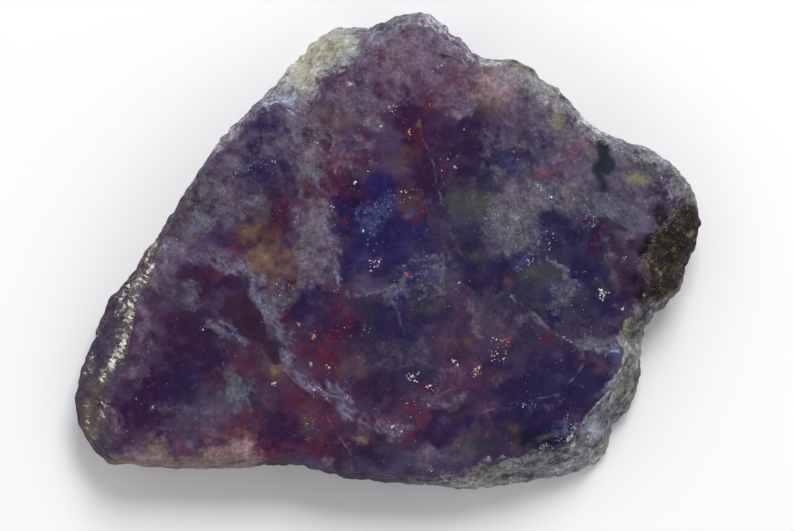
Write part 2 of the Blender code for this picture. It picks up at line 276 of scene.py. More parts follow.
clouds["navy"] = [
    (-7.2, -5.4, 2.3, 1.8, 75), (0, -5.8, 0.9, 1.6, 80), (17.6, 1.8, 2.6, 2.6, 80),
    (20.3, -2.2, 2.4, 1.8), (21.5, -5.2, 2, 1.8), (16.5, -6.7, 1.7, 0.5, 100, -48),
    (15.4, -13.9, 4.2, 1.6), (19.6, -13.4, 2.8, 2.1), (16.5, -11.6, 2.2, 1.5, 60),
    (13, -16.8, 3.4, 1.8, 60), (11.8, 9.6, 2.2, 1.4, 75), (12.2, 8.5, 1.6, 0.8, 60), (-12, 12, 1.8, 1.6),
    (-14, 8.3, 1.3, 1.6, 80), (-11.5, 8.6, 2.2, 2.2, 85), (-20.5, -13.2, 2.4, 1.8, 80),
    (-21.5, -15.3, 1.4, 1, 60), (6.2, -18.8, 2, 1.6, 90), (7.8, -17, 1.4, 1, 80),
    (15.6, 10.6, 1.6, 1.3, 65), (9.8, -3.4, 1.8, 0.9, 80), (13, -1, 1.6, 0.9, 70),
    (8.2, -0.9, 1.5, 2.2, 70), (9.6, 7.6, 1.6, 3, 60), (-10.5, -17.6, 2.4, 2.4, 30),
    (4.3, 18.1, 1.3, 0.9, 50), (-2, 15.6, 1.8, 1.9, 50), (16, -18, 3, 1.1, 80), (-17, -10.5, 2, 1.4, 50),
    (0.4, -8, 2.2, 2.8, 35), (2, -5.6, 2.6, 1.6, 60), (-3.9, -1.6, 1.2, 1.4, 70), (2.4, -8, 2, 1.6, 40),
    (0.8, -1.2, 2.8, 1.2, 90), (11.4, -3.4, 2.4, 1.6, 50), (13.4, -0.8, 2.4, 1, 70),
    (13.4, -7.6, 1.8, 1.2, 50), (11, -10.4, 1.8, 1.2, 75), (17.2, -4.4, 1.2, 1, 30),
    (2.4, -4.2, 1.6, 1, 40), (-12.8, 7.6, 1.4, 1.4, 60), (-1.4, 5.6, 1.2, 0.8, 40),
    (-8.2, -6.6, 1.5, 1.3, 60), (-10.2, 7.8, 1.4, 1.3, 40), (5, -1, 1.4, 1.4, 35),
]
clouds["indigo"] = [
    (-1.8, 2.6, 3.4, 3), (-2.2, 3.6, 2.6, 2.6), (1, 1.2, 2.6, 1.8), (3.4, 2.2, 1.8, 1.3, 100),
    (-0.6, 6.4, 1.6, 1.2, 90), (-3.2, -0.6, 1.8, 1.2, 70), (1.8, -2.8, 2.2, 1, 80),
    (4.4, -0.4, 1.6, 1.2, 60), (19.5, -2.5, 1.6, 1.4, 40), (16.5, -6.7, 1.6, 0.5, 80, -48),
    (19.6, -13.4, 2.2, 1.4, 35), (15.4, -13.6, 2.6, 0.9, 30), (-12, 12, 1.4, 1.4, 50),
    (-11.5, 8.6, 1.6, 1.6, 35), (11.8, 9.6, 1.6, 0.9, 40), (-5.2, 2, 0.6, 2, 30), (17.6, 3, 1.6, 1.2, 25),
    (6.6, -18.4, 1.2, 1, 25), (15.6, 10.6, 1.2, 1, 35), (21.5, -5.2, 1.4, 1.4, 30),
    (14.6, -4.2, 2, 1.2, 30), (3.4, -6.6, 2.4, 1.4, 30), (11, -0.8, 1.6, 1, 50), (-1, 2.4, 1.5, 1.6, 40),
    (8.6, 2.4, 1.7, 1.2, 35), (18.2, -5.6, 1.8, 2, 30), (-1, 5, 1.4, 1.4, 30), (5.6, 20.5, 1.3, 0.9, 20),
]
clouds["clay"] = [
    (-5.5, 13.2, 2.4, 1.6), (-8.4, 6.4, 2.2, 2, 40), (-13, 1.3, 2, 1.6), (-12, -1.8, 2.4, 1.3, 90),
    (-17, 6.3, 2.2, 1.8, 70), (1.4, 18.8, 1.9, 2.7), (1.9, 5.3, 1.6, 1.8, 60), (2, 8.9, 1.8, 1.2, 70),
    (10.8, 14.2, 2.6, 1.4), (3.4, -6.6, 2, 1.3, 30), (-3, -12, 2.4, 1.6, 60), (-11.2, -10.6, 1, 1.6, 80),
    (-10.8, -12.4, 1.6, 1.2, 50), (-7.6, -16.5, 1.8, 1.6, 50), (-2.6, -18.4, 1.6, 1, 60),
    (22.4, -3, 1.6, 1, 50), (24.6, 4.2, 2.2, 1.4, 50), (8.4, -18.9, 2, 1.6, 50),
    (13.4, -18.6, 0.8, 1.1, 90), (7.3, -8.8, 2.2, 1.8, 50), (13.2, 4, 2, 1.4, 70),
    (-6.6, -1.8, 1.4, 1, 50), (11.4, -7, 2.6, 1.6, 30), (-10.4, -1.2, 1.8, 1.6, 80),
    (-11, -3.6, 2, 1.4, 60), (-20.5, 2, 2.6, 2.6, 60), (-7.4, -14.6, 1.8, 1, 35), (-7, -18.8, 2, 1, 45),
    (-22.4, -1.4, 1.4, 1.4, 65), (-13.2, -3.6, 1.4, 1, 30), (17.4, 2.4, 1.8, 1.2, 30),
    (-5.5, 13.4, 2.2, 1.8, 60), (1.6, 18.7, 1.7, 1.8, 45),
]
clouds["olive"] = [
    (8, 4.8, 2.2, 1.5), (9.4, 3.7, 1.4, 1, 80), (-12.9, 4.3, 1.5, 1, 80), (8.8, -0.5, 1.2, 0.7, 70),
    (14.9, -2.5, 1.6, 1), (17, 13.3, 1.1, 1.5), (24.6, 7.2, 1.3, 1.1), (20.4, 9.6, 0.5, 0.9),
    (3.2, 12.6, 0.35, 0.35), (-11.3, -11.9, 1.2, 1, 50), (8, -20, 2, 1.2, 70),
    (-8.3, -17.3, 0.7, 1.2, 60), (3.4, -5.6, 1.8, 1, 50), (20, 4.6, 2.2, 0.9, 50),
]
clouds["straw"] = [
    (17.1, 13, 0.8, 1.3), (24.6, 7.1, 1.1, 0.8, 90), (-12.2, -0.5, 0.8, 0.5, 80),
    (20.4, 9.7, 0.4, 0.9, 60), (27.4, -2.4, 0.7, 0.6, 50), (30.3, 1.4, 0.7, 0.6, 80),
    (24, -7.6, 0.3, 0.6, 80), (28, -2.2, 0.7, 0.5, 40), (-2.4, -19.2, 0.5, 0.8, 25),
    (3.2, 12.6, 0.25, 0.25), (30, 4.9, 0.5, 0.5), (28.4, 7.6, 0.6, 0.3), (-11.2, -12.2, 0.6, 0.5, 20),
    (11.2, 16.9, 2, 1.2, 45),
]
clouds["rust"] = [
    (-4.2, -6.3, 1.3, 1.7), (-4.9, -9.4, 0.9, 1.3), (-6.2, -11, 1.3, 0.7, 60), (-8.3, -10.2, 0.9, 0.4),
    (-9.2, -15, 1.1, 0.9), (-5.6, -17.5, 1.5, 1.5, 80), (-7.6, -20.3, 1, 0.6), (-14, -10.6, 1.7, 1.3, 80),
    (-13.9, -17.3, 0.5, 0.6, 70), (-12.7, -20.4, 0.9, 0.4, 100, -30), (6.7, 17, 1.8, 1.8, 80),
    (4.5, 15.2, 0.8, 1), (3.8, 16.8, 0.4, 0.5), (3.4, 11.4, 1.1, 1.9, 80), (2.4, 12, 1, 0.8),
    (-2.3, 8.8, 0.5, 0.6), (-5, 7.2, 1, 1.3), (5.6, 7.7, 0.5, 1), (-0.8, 19.5, 0.6, 0.9, 80),
    (2, 21.8, 0.6, 0.5), (16.5, -8.6, 0.9, 0.9), (12.3, -9, 0.8, 0.5), (7.2, -5.6, 1.3, 1.2, 80),
    (4.4, -9.2, 1, 0.6, 80), (20.4, -11.5, 1.3, 0.5, 80, -15), (21, 1.2, 0.7, 1.8, 35),
    (20.5, 3.1, 0.6, 0.3), (-15, 1.4, 0.5, 0.4), (-15.3, 0.1, 0.8, 0.4), (-17, -2.4, 1.6, 0.6, 80),
    (2.9, 3, 0.6, 0.6), (3.6, 4, 0.7, 0.6), (-3, 5, 1.1, 1, 100), (2.5, -16, 1.7, 1.1, 70),
    (2, -18.7, 0.8, 0.7, 70), (-10.4, 4.2, 0.7, 1.2), (-10.8, 2.2, 1.2, 1.2, 70),
    (-11.8, 1.9, 0.8, 0.8, 60), (-5.2, 16.9, 0.9, 0.6, 80), (-7.6, 14.9, 0.4, 0.4), (-8.1, 9, 0.4, 0.3),
    (-8.3, 2.7, 0.5, 0.3), (-6.2, 0, 0.8, 0.3, 100, 25), (-4.5, 2.7, 0.5, 0.4), (24.5, 9.1, 0.4, 0.4),
    (18.9, 12.8, 0.3, 0.3), (-10.4, -7.3, 0.5, 0.4), (-21.1, -6.8, 0.4, 0.3), (5, 20.9, 0.4, 0.5),
    (8.4, 16.4, 0.6, 0.5), (8.4, 18.2, 0.4, 0.3), (-25, -11.2, 0.3, 0.3), (-0.9, 18.5, 0.4, 0.3),
    (14.8, 3.4, 0.3, 0.3), (12.2, 4.2, 0.3, 0.3), (-4.6, -3.9, 0.9, 0.4, 80), (5.2, -11.2, 1, 0.6, 70),
    (7.6, -13.4, 1, 0.7, 60), (23.8, 3.5, 0.4, 0.3, 80), (-1.8, 11.4, 1.4, 0.5, 60),
    (10.5, -16.2, 1.4, 0.8, 50),
]
clouds["rose"] = [
    (16.6, 8, 2.2, 0.5, 90, 22), (19.2, 10.1, 1.6, 0.9, 80, 40), (15, 8, 1, 0.5, 80),
    (12, -3.2, 0.6, 0.7), (-3.7, 16.6, 0.4, 0.3), (-1, 13.7, 0.7, 0.5, 70), (1.8, 21.4, 0.7, 0.8, 70),
    (-0.9, 16, 0.5, 0.5, 40), (1.9, -2.5, 0.35, 0.3), (23.8, -0.2, 0.5, 0.8, 50),
    (20.3, 12.2, 0.7, 0.9, 50), (-7, 3.2, 1.6, 0.8, 60), (-5.6, 9.6, 1.6, 1, 40),
    (9, -11.6, 0.5, 0.7, 70), (-13, -17.6, 0.5, 1.8, 40), (12, -8.6, 1, 0.6, 60), (9.9, 17, 0.25, 0.3),
    (11.2, 5.5, 0.3, 0.4), (2, 3.5, 0.5, 0.35), (-5.6, 16.8, 0.5, 0.3), (6.9, -7.4, 0.4, 0.3, 70),
    (17.4, -3.8, 0.4, 0.3), (14.4, -0.2, 1.2, 0.8, 30),
]
clouds["milk"] = [
    (-7.2, 1.2, 1.8, 3.6, 90), (-6.6, 3.9, 1.4, 1.6, 50), (-7.6, 7.8, 1.8, 2.4, 50),
    (-8.2, -1.6, 1, 1.6, 80), (11.6, 2.6, 2.6, 2.4, 72), (13.4, 2.6, 1.8, 1.8, 60),
    (14.3, 0.8, 1.2, 1.3, 60), (9.6, 4.6, 2.2, 1.8, 50), (5.6, -1.8, 1.6, 2, 50),
    (3.5, -3.8, 2.2, 0.6, 60), (-1, -4.2, 2, 1, 50), (1.4, -4.4, 1, 1.4, 40), (2, -10.2, 2.8, 1.2, 32),
    (-0.4, -11.8, 1.6, 1, 25), (0.4, -18.2, 1.5, 0.9, 60), (-2.4, -17.2, 1.4, 0.8, 40),
    (-15, -14, 1.8, 1.8, 60), (-20, -16, 1.8, 1.2, 30), (-22.4, -18.6, 1.8, 1.2, 45),
    (-17.2, -17.6, 3.4, 1.6, 12), (-13.2, 4.6, 1.8, 0.9, 70), (-19, 2.8, 1.6, 1.2, 80),
    (-21, 0.4, 1.4, 0.7, 80), (-17.8, 5.2, 1.8, 1.2, 40), (-2, 13, 1.4, 1.4, 70),
    (-6.6, 11.3, 1.4, 1.3, 70), (-9.4, 12.2, 1, 1.6, 60), (-1.2, 8.4, 0.6, 0.8, 50),
    (7.4, 14.4, 1.8, 0.9, 70), (4, 19.8, 1.8, 1.8, 40), (15.6, 12.4, 2, 1.2, 70),
    (18.6, 10.9, 2.2, 1.4, 50), (23, 9.8, 1.6, 1, 80), (26.4, 7.4, 2.4, 1.8, 70), (25.6, 5.2, 3, 1.6, 40),
    (17.6, -3.9, 1.5, 1.5, 60), (17, -5.6, 1.2, 0.8, 70), (20.8, -9.4, 2.4, 0.8, 80),
    (23, -12.4, 0.7, 1.6, 50), (9, -6.6, 0.7, 2.2, 70), (13.6, -5.6, 1.6, 1, 15), (19.6, -7, 1.4, 1, 30),
    (-17, -7.6, 1.2, 0.6, 80, -30), (-19, -5.4, 1.6, 0.8, 40), (-16.8, -0.6, 2.2, 0.6, 70),
    (7.4, -14.6, 1.8, 1, 50), (11.6, -13, 1.4, 1.2, 30), (16, -10.8, 1, 0.9, 20),
    (2.6, -1.2, 1.4, 0.6, 20, 30), (-10, 14, 0.9, 0.6, 80), (10.6, 8.2, 1.2, 0.7, 50),
    (-13.2, -3.6, 0.7, 1.4, 70), (-11.6, -5.8, 1.4, 2, 40), (-5.2, -21, 3, 0.8, 30),
    (4.4, -15, 2.4, 1, 30), (22, 1, 0.8, 1, 40), (-19.4, -4.2, 1.8, 1, 50), (14.2, 5.2, 1.4, 1, 40),
    (-11.8, -1.4, 1.2, 0.8, 30), (-14, -1, 1, 0.7, 50), (-9.4, -4.2, 1.7, 1.1, 50),
]
clouds["mauve"] = [
    (-24.4, -8.4, 1.4, 3.4, 30), (-23.4, -3, 1.2, 2, 50), (-25.2, -12.4, 1.6, 1.2, 45),
    (-26.8, -18.6, 1.4, 2, 15), (-18.4, -19.2, 3.2, 1.2, 40), (-15.6, -12.4, 1.6, 1.2, 20),
    (-20, 5, 1, 1.6, 60), (4.2, 20.4, 1.8, 1.8, 50), (0, 20, 1.2, 1.2, 50), (9.6, 17.6, 1.6, 1, 80),
    (-7.4, 3.8, 1.8, 1.4, 40), (-5.4, 10, 1.6, 1, 50), (-7.6, 9.6, 1.2, 1.4, 80),
    (13.4, 6.6, 1.6, 1.2, 40), (20.6, 6.8, 1.2, 0.8, 40), (26.6, 4.4, 1.6, 1.4, 50),
    (12.6, -7.4, 2, 1.2, 40), (6, -12.6, 2, 1, 40), (5.4, -20.8, 2.2, 0.8, 50),
    (-16.2, -16.6, 2.4, 1, 30), (-12.6, -4.4, 1.2, 1.2, 40), (6.6, 14, 1.4, 1, 40),
    (19.8, -11, 1.6, 0.6, 40), (-1.8, 10.2, 1.6, 0.8, 60), (22.6, -5.4, 0.8, 0.8, 30),
    (23, -1, 1.4, 1.4, 40), (-25, -6.8, 1.2, 1.6, 50), (-27.6, -17, 1, 1.6, 70),
    (-22.6, -1.4, 1.2, 1.4, 40), (23.4, 1.6, 1.2, 0.8, 70), (-22, -16, 1.4, 1.2, 35),
    (5, -4, 1.2, 0.8, 50), (-7, -0.8, 1.2, 1.4, 60), (12.8, 4.2, 1.6, 0.9, 40), (5.2, 20.3, 1.8, 1, 60),
    (1.8, 18.6, 1.8, 1.6, 50), (11.4, 16.8, 2, 1.2, 50),
]
clouds["stain"] = [
    (28.6, 0.8, 2, 2.8), (29.6, 3.6, 1.6, 1.6, 85), (27.8, -2, 1.8, 1.6, 75), (25.8, -4.6, 1.3, 1.8, 55),
    (24.1, -7.4, 0.8, 1.2, 70), (30.3, 4.8, 1, 1.2, 80), (27.4, 0.6, 1.6, 2, 60),
    (27.9, 3.6, 0.5, 0.9, 60), (28.2, 7.6, 0.9, 0.35, 40, -25), (27, -0.9, 1.4, 1.3, 50),
]
# Shade darkens the flank's grains in patches and along some edges: painted shade.
clouds["shade"] = [
    (15, -21.8, 3.4, 1.2, 95, 8), (12.6, -22.4, 3.2, 0.9, 80), (25.6, -5, 1.2, 1.4, 60),
    (24.2, -8.4, 0.7, 1.2, 80), (-3.6, 19.2, 1.8, 0.9, 50, 35), (-9, 15.6, 1.4, 1.2, 30),
    (-1.4, 21.4, 1.8, 0.9, 60, 20), (15, 17.3, 1.4, 0.7, 60, -40), (-29.4, -16.6, 1.8, 3.6, 90),
    (23.4, -14, 1.3, 2.4, 100), (24.6, -11, 0.8, 1.6, 40), (30, 0.4, 0.8, 1, 50),
    (13.4, -20.5, 2.6, 0.5, 90, 12), (9.4, -21.6, 2, 0.5, 50, 12), (-1, 22.3, 1.8, 0.8, 80),
    (-4.6, 20.6, 2, 1, 50, 30), (21, -13.6, 1, 2.4, 40, -30), (10.6, -21.2, 3, 0.7, 60, 12),
    (24.4, -6.4, 1.2, 1.7, 50), (17, -19.8, 2.4, 0.6, 60, 12), (-17, -21.2, 9, 1.2, 30),
]
clouds["chill"] = [
    (-9.6, 14.8, 2, 1.2), (-3.4, 19.1, 1.8, 0.9, 70, 30), (-1, 21.6, 2.4, 1, 80), (17, -21.4, 5, 1.2, 40),
    (20.6, -18, 2, 2, 50), (24, 10.2, 4, 1.2, 40, -20), (-13.4, 12.6, 2, 1.2, 30, 45),
    (21.6, -15.4, 1.2, 1.6, 50),
]
clouds["tan"] = [
    (24.5, -14.2, 0.6, 1.4, 80, -15), (23.2, -16.4, 0.6, 0.8, 50), (9.6, -22, 2.6, 1, 50),
    (22.4, -19, 0.8, 1, 50), (30.4, 1.4, 0.8, 0.8, 80), (28, -2.2, 1.4, 0.8, 60),
    (24, -7.4, 0.8, 1.2, 80), (-29, -18, 1.2, 1.6, 70), (-29.8, -14.6, 1, 2.4, 60),
    (12, 18.4, 2.4, 0.6, 50), (28.2, 7.7, 1, 0.4, 70), (-22.6, 1.4, 0.8, 1.4, 60),
    (-5.4, 20, 2.2, 1.2, 50, 30), (-7, 20.6, 2.6, 0.9, 50), (-8.6, 18.8, 1, 0.9, 60),
    (27.4, -3.6, 1.8, 1.2, 90), (-8.2, 17.2, 1.6, 1.3, 50), (23.6, -14.8, 1.2, 2.2, 40),
    (21.2, -20.6, 2, 0.9, 40),
]
clouds["petal"] = [
    (-20, -22, 7.5, 0.75, 70), (-13.8, -21.4, 1.4, 0.8, 60), (-27, -21.6, 2, 0.9, 60),
    (12.4, 17.8, 1.4, 0.9, 60), (12, 18.6, 2, 0.5, 70), (13, 17.6, 2, 1, 60), (-15.2, -20, 1.6, 0.7, 50),
    (11.2, 16.7, 2.4, 1.4, 100), (14.2, 17, 1.5, 0.9, 40),
]
clouds["blush"] = [
    (-14.8, -20.6, 2.2, 1.3, 90), (-19, -21.6, 4.2, 1.1), (-23.6, -21.4, 1.8, 1.1, 85),
    (-26.8, -21.4, 1.8, 1, 80), (-16.2, -18.8, 1.6, 0.8, 25), (-22.8, -19.4, 1, 1, 40),
    (-12.8, -19, 0.3, 1.2, 60), (11.6, 17.9, 2.6, 0.9, 80), (12, 16.6, 0.7, 0.9, 90),
    (15.4, 16.6, 0.9, 0.5, 80), (13.4, 15.4, 0.9, 0.5, 40), (13.2, 17, 2.6, 1.2, 70),
    (10.4, 15.6, 2.2, 1.4, 60), (9.8, -22.6, 1.6, 0.7, 50), (4.2, -22.2, 0.8, 0.5, 50),
    (1.2, 20, 1.2, 1.2, 35), (18.6, 5.4, 1.4, 0.7, 50), (-3.4, -19.2, 0.4, 0.5, 50),
    (-6.4, -20.9, 0.5, 0.5, 40), (-13.6, 3.6, 0.6, 0.4, 30), (12.8, 1.2, 1, 0.6, 30),
    (11.8, 17.2, 2.6, 1.3, 95), (8.6, 17.6, 1, 0.9, 40), (-22.6, -20.2, 1.6, 0.8, 20),
    (17.2, 14.4, 1.2, 1, 40),
]
# Frost is pale bluish white. Partly it is pale veins and the pale rim at the top. Partly it is painted
# glints and reflections: the bright flashes of broken facets at the chipped corner and of small facets
# elsewhere.
clouds["frostAndGlints"] = [
    (18.9, -17.8, 0.3, 0.8, 60, -30), (18.4, -18.7, 0.5, 0.2, 40, 20), (22.5, -13.2, 0.22, 1.1, 60, -28),
    (16.7, -19.7, 0.9, 0.12, 60, 8), (22.9, -10.1, 0.7, 0.12, 80), (6, -4.2, 0.7, 0.1, 60, -4),
    (17.9, -9, 0.8, 0.14, 60, -40), (-6, 1.8, 0.12, 1.3, 50, 12), (22.8, 10.2, 0.9, 0.4, 60),
    (-17, -7.6, 0.8, 0.3, 40, -20), (-8.6, 3, 0.6, 1.4, 30), (-22, 0.4, 0.8, 0.4, 50),
    (12.6, 3.2, 1.4, 0.9, 30), (-9.6, 14.6, 0.8, 0.6, 50), (2.6, 23, 1.6, 0.6, 60, 10),
    (-0.6, 22, 1.8, 0.7, 20, 20), (5.2, 22.2, 1, 0.4, 40, -35),
]
clouds["grime"] = [
    (20.4, 11.5, 0.8, 0.5, 50), (23.4, 10.2, 2.4, 0.6, 80, -20), (26.8, 8.6, 2, 0.8, 70, -32),
    (29.2, 6, 1, 1.8, 60, 10), (28.2, 7.8, 1.2, 1, 50, -40), (14.6, 17, 1.4, 0.6, 60, -40),
    (17.6, 14.6, 1.6, 0.5, 60, -45), (-1, 21.4, 1.6, 0.6, 60, 25), (28.8, 3.6, 1.4, 1.2, 25),
    (25.4, -6.4, 0.9, 0.9, 80), (7.4, 19.4, 1.8, 0.5, 50, -40), (12, 18.6, 2.6, 0.35, 50),
    (12, 17.2, 2.6, 1.2, 80), (14.6, 16.4, 1.6, 1.1, 70), (17.4, 14.4, 1.2, 1, 60),
    (13, 18.2, 1.8, 0.5, 60), (-9, 15.2, 1.6, 1.4, 80), (-8.2, 16.6, 1.2, 1, 60),
    (11.4, 16.8, 1.8, 1, 80),
]

# Pale healed cracks, each a line of points, half its width and its strength. They fade slowly on their
# left, walking along them.
cracks = [
    ([(-14.4, -2), (-13.7, -3.2), (-13.3, -4.6), (-12.2, -5.6), (-11.6, -7.4), (-10.5, -8.8),
      (-10.1, -10.8)], 0.42, 1),
    ([(-10.1, -10.8), (-9.6, -12.2), (-8.2, -13.8), (-6.8, -14.5), (-5.4, -15.1),
      (-4.2, -16.4)], 0.36, 0.85),
    ([(-4.2, -16.4), (-2.8, -17), (-1.2, -17.9), (0.6, -18.6)], 0.3, 0.7),
    ([(-5.8, -14), (-4.8, -14.5), (-4.2, -15.8)], 0.3, 0.8),
    ([(-19.6, -0.9), (-17.6, -1.3), (-16.2, -2), (-14.4, -2.1)], 0.34, 0.8),
    ([(-12.7, -9.5), (-13.8, -9.1), (-14.8, -8.4), (-15.6, -7.3), (-16.6, -6.9)], 0.15, 0.55),
    ([(-14.2, -9.4), (-14.8, -10.6), (-15.8, -10.2)], 0.1, 0.6),
    ([(-6.6, 4), (-6.1, 2), (-5.6, 0.6), (-5.1, -0.4)], 0.18, 0.9),
    ([(-5.4, -0.6), (-5.2, -2), (-4.8, -3.6), (-3.8, -4.8), (-2, -4.4)], 0.18, 0.85),
    ([(15.4, 5.6), (17.4, 4.6), (19.4, 4.2), (21.2, 3.4)], 0.55, 0.75),
    ([(12.6, -4.8), (15, -6.8), (17.2, -8.6), (18.6, -9.4), (19.2, -10.3)], 0.1, 0.68),
    ([(19.2, -9.9), (20.8, -9.9), (22.6, -9.8)], 0.25, 0.8),
    ([(18.5, -4.8), (18.9, -3.4), (18, -2.2), (16.5, -1.2), (15, 0.2)], 0.11, 0.75),
    ([(3, -5), (4.4, -4.5), (5.8, -4.4), (6.6, -4.3)], 0.12, 0.6),
    ([(1.4, -1.9), (2.6, -1.3), (3.8, -1.2), (5, -0.6)], 0.12, 0.6),
    ([(5.4, -1.4), (3.4, -2.2), (1.6, -2.8), (0.2, -3.8), (-2, -4.4)], 0.13, 0.65),
    ([(0.6, -4.6), (1.2, -6.4), (1.8, -8.4)], 0.1, 0.5),
    ([(-9.2, 9.8), (-8.4, 8.6), (-7.2, 7.2), (-6.4, 5.8)], 0.14, 0.7),
    ([(-5.6, 11.8), (-5.2, 10.6), (-5.6, 9.2)], 0.12, 0.6),
    ([(23.8, -10.4), (23.2, -11.8), (22.3, -13.2), (21, -14.6)], 0.14, 0.8),
]

# Hair-thin cracks, which run on for several millimetres.
hairlines = [
    ([(3.4, 11.6), (4.1, 9.9), (4.8, 8.3), (5, 6.4), (5.6, 4.6), (6.1, 2.8), (6.9, 0.4), (8.6, -2),
      (9.8, -4), (12.8, -5.4), (15.4, -7.4), (17.8, -9), (18.8, -10)], 0.065, 1),
    ([(-3.4, -22), (-3.8, -20), (-5.4, -18), (-6.2, -16.2)], 0.07, 0.9),
    ([(-6.3, 3.2), (-5.9, 1.4), (-5, -0.4), (-4.6, -2.4)], 0.08, 1),
    ([(7.6, -12), (6.4, -13.8), (5, -14.6)], 0.06, 0.8),
    ([(8, 12.6), (9.4, 11.6), (10.6, 9.8), (12.4, 8.8)], 0.06, 0.8),
    ([(20.6, -10), (19, -12.4), (17.2, -14.4), (14.6, -15), (12.2, -15.4), (9.6, -16.2)], 0.07, 0.9),
    ([(-14, -14.8), (-13.6, -16.2), (-13.6, -17.6), (-13, -19), (-12.6, -20.2)], 0.1, 0.95),
    ([(-16.6, -9.6), (-16.4, -11.4), (-15.4, -13.4)], 0.08, 0.8),
    ([(8.8, 14.4), (9.6, 12.6), (11, 11.6)], 0.05, 0.7),
]

# Thin dark seams.
darkSeams = [
    ([(-0.8, 15.6), (0.6, 14.9), (2, 14.5), (3.4, 14.1)], 0.1, 1),
    ([(5.2, 19.6), (6.4, 19.3), (7.8, 18.6)], 0.08, 1),
    ([(-9.8, -12.8), (-8.4, -14.2), (-6.8, -14.9), (-5.4, -15.6)], 0.11, 0.9),
    ([(21.6, 10.8), (23, 10.2), (24.4, 9.4)], 0.08, 0.8),
    ([(12.4, -4.2), (14.2, -5.6), (16, -7)], 0.1, 0.9),
]

# Closed outlines of patches with a hard border.
patches = {
    "sliver": [
        (-16.2, -4.7), (-14.8, -4.2), (-14, -4.3), (-13.6, -5), (-12.8, -5.6), (-12.3, -6.3),
        (-12.1, -7.3), (-12.1, -8.7), (-10.9, -9.1), (-10.4, -9.9), (-10.4, -11.2), (-11.2, -11.6),
        (-12.2, -10.4), (-12.6, -9.5), (-13.7, -9), (-14.6, -8.4), (-15.2, -7.8), (-15.6, -7),
        (-16.7, -6.3), (-16.2, -5.7),
    ],
    "plume": [
        (21, 11.4), (21.9, 11.2), (22.3, 10.4), (22.3, 9.5), (22.6, 8.7), (22.5, 7.9), (22.1, 7.4),
        (21.6, 7.7), (21.1, 7.6), (20.6, 8.1), (20.7, 8.6), (21.1, 9.2), (21.2, 9.9), (21, 10.6),
    ],
    "tongue": [
        (20.6, 5.9), (22, 5.8), (23.6, 5), (25, 4.4), (26.4, 3.4), (27.3, 2.3), (26.6, 1.5),
        (25.2, 1.6), (23.8, 2.2), (22.6, 3), (21.4, 3.9), (20.4, 4.8),
    ],
}

# Cream streaks on the ground bevel at the left, each a line of points, half its width and its strength.
creamStreaks = [
    ([(-23.2, 0.6), (-24.2, -0.9)], 0.2, 0.9),
    ([(-23.5, -1.6), (-24, -2.6), (-24.6, -3.6)], 0.25, 0.9),
    ([(-24.8, -2.8), (-25.6, -3.6), (-26.8, -4.6)], 0.42, 1),
    ([(-25.2, -4.6), (-26, -5.6), (-27, -6.4)], 0.3, 0.9),
    ([(-25.6, -6.2), (-26, -7.6), (-26.4, -9.2), (-26.8, -10.6)], 0.46, 1),
    ([(-27, -10.8), (-27.8, -11.8), (-28.6, -12.8)], 0.32, 0.95),
    ([(-28.6, -7.2), (-29.2, -8.6)], 0.26, 0.9),
    ([(-29.6, -10.6), (-30.2, -12), (-30.6, -13.2)], 0.28, 0.9),
    ([(-30, -15.6), (-30.2, -17.4), (-29.4, -18.8)], 0.26, 0.85),
    ([(-28.4, -15.2), (-28.6, -16.6)], 0.24, 0.8),
]

# Scoops broken out of the polished face: x, y, two radii, turn in degrees and depth.
scoops = [
    (16.9, -19, 2.4, 0.8, 12, 0.45), (18.7, -17.9, 0.9, 1.1, 40, 0.35), (23.2, -12, 0.8, 2.2, -20, 0.2),
    (-9.6, 14.2, 0.9, 0.8, 0, 0.1), (28.6, 3.4, 1.2, 1.2, 0, 0.15), (21.5, -4.6, 0.5, 0.7, 0, 0.05),
    (24, -9.2, 0.8, 0.8, 0, 0.3),
]


def latticeRandom(cells, seed):
    # A number from 0 to 1 for each whole lattice cell: its three coordinates are multiplied by large
    # odd numbers, joined by exclusive-or, and the 32 bits are mixed by two shifts and products.
    whole = cells.astype(np.int64)
    mixed = (whole[..., 0] * 73856093) ^ (whole[..., 1] * 19349663) ^ (whole[..., 2] * 83492791)
    mixed = (mixed + seed * 2654435761) & 0xFFFFFFFF
    mixed = ((mixed ^ (mixed >> 15)) * 1274126177) & 0xFFFFFFFF
    mixed = ((mixed ^ (mixed >> 13)) * 668265263) & 0xFFFFFFFF
    return (mixed ^ (mixed >> 16)) / 0xFFFFFFFF


def valueNoise(points, seed):
    # Smooth noise from 0 to 1: the random numbers at the eight lattice corners round a point, blended
    # along each axis by t * t * (3 - 2t).
    low = np.floor(points)
    part = points - low
    part = part * part * (3 - 2 * part)
    total = np.zeros(points.shape[:-1])
    for corner in itertools.product((0, 1), repeat=3):
        weight = np.where(corner, part, 1 - part).prod(-1)
        total += weight * latticeRandom(low + corner, seed)
    return total


def cloudNoise(points, octaves, seed):
    # Several octaves of smooth noise, each twice as fine and half as strong, brought to -0.5 to 0.5.
    total, strength = 0.0, 0.0
    for octave in range(octaves):
        total = total + valueNoise(points * 2 ** octave + 17.3 * octave, seed + octave) / 2 ** octave
        strength += 1 / 2 ** octave
    return total / strength - 0.5


def facetNoise(points, seed, sharpness):
    # Flat facets that lean at random: each lattice cell holds one point with a height and a slope, and
    # the facets are blended by exp(-sharpness * distance squared), so they meet in narrow edges.
    low = np.floor(points)
    total, weights = 0.0, 0.0
    for step in itertools.product((-1, 0, 1), repeat=3):
        cell = low + step
        centre = cell + np.stack([latticeRandom(cell, seed + axis) for axis in range(3)], -1)
        lean = np.stack([latticeRandom(cell, seed + 3 + axis) for axis in range(3)], -1) - 0.5
        offset = points - centre
        weight = np.exp(-sharpness * (offset ** 2).sum(-1)) + 1e-12
        total = total + weight * (latticeRandom(cell, seed + 6) - 0.5 + 1.6 * (lean * offset).sum(-1))
        weights = weights + weight
    return total / weights


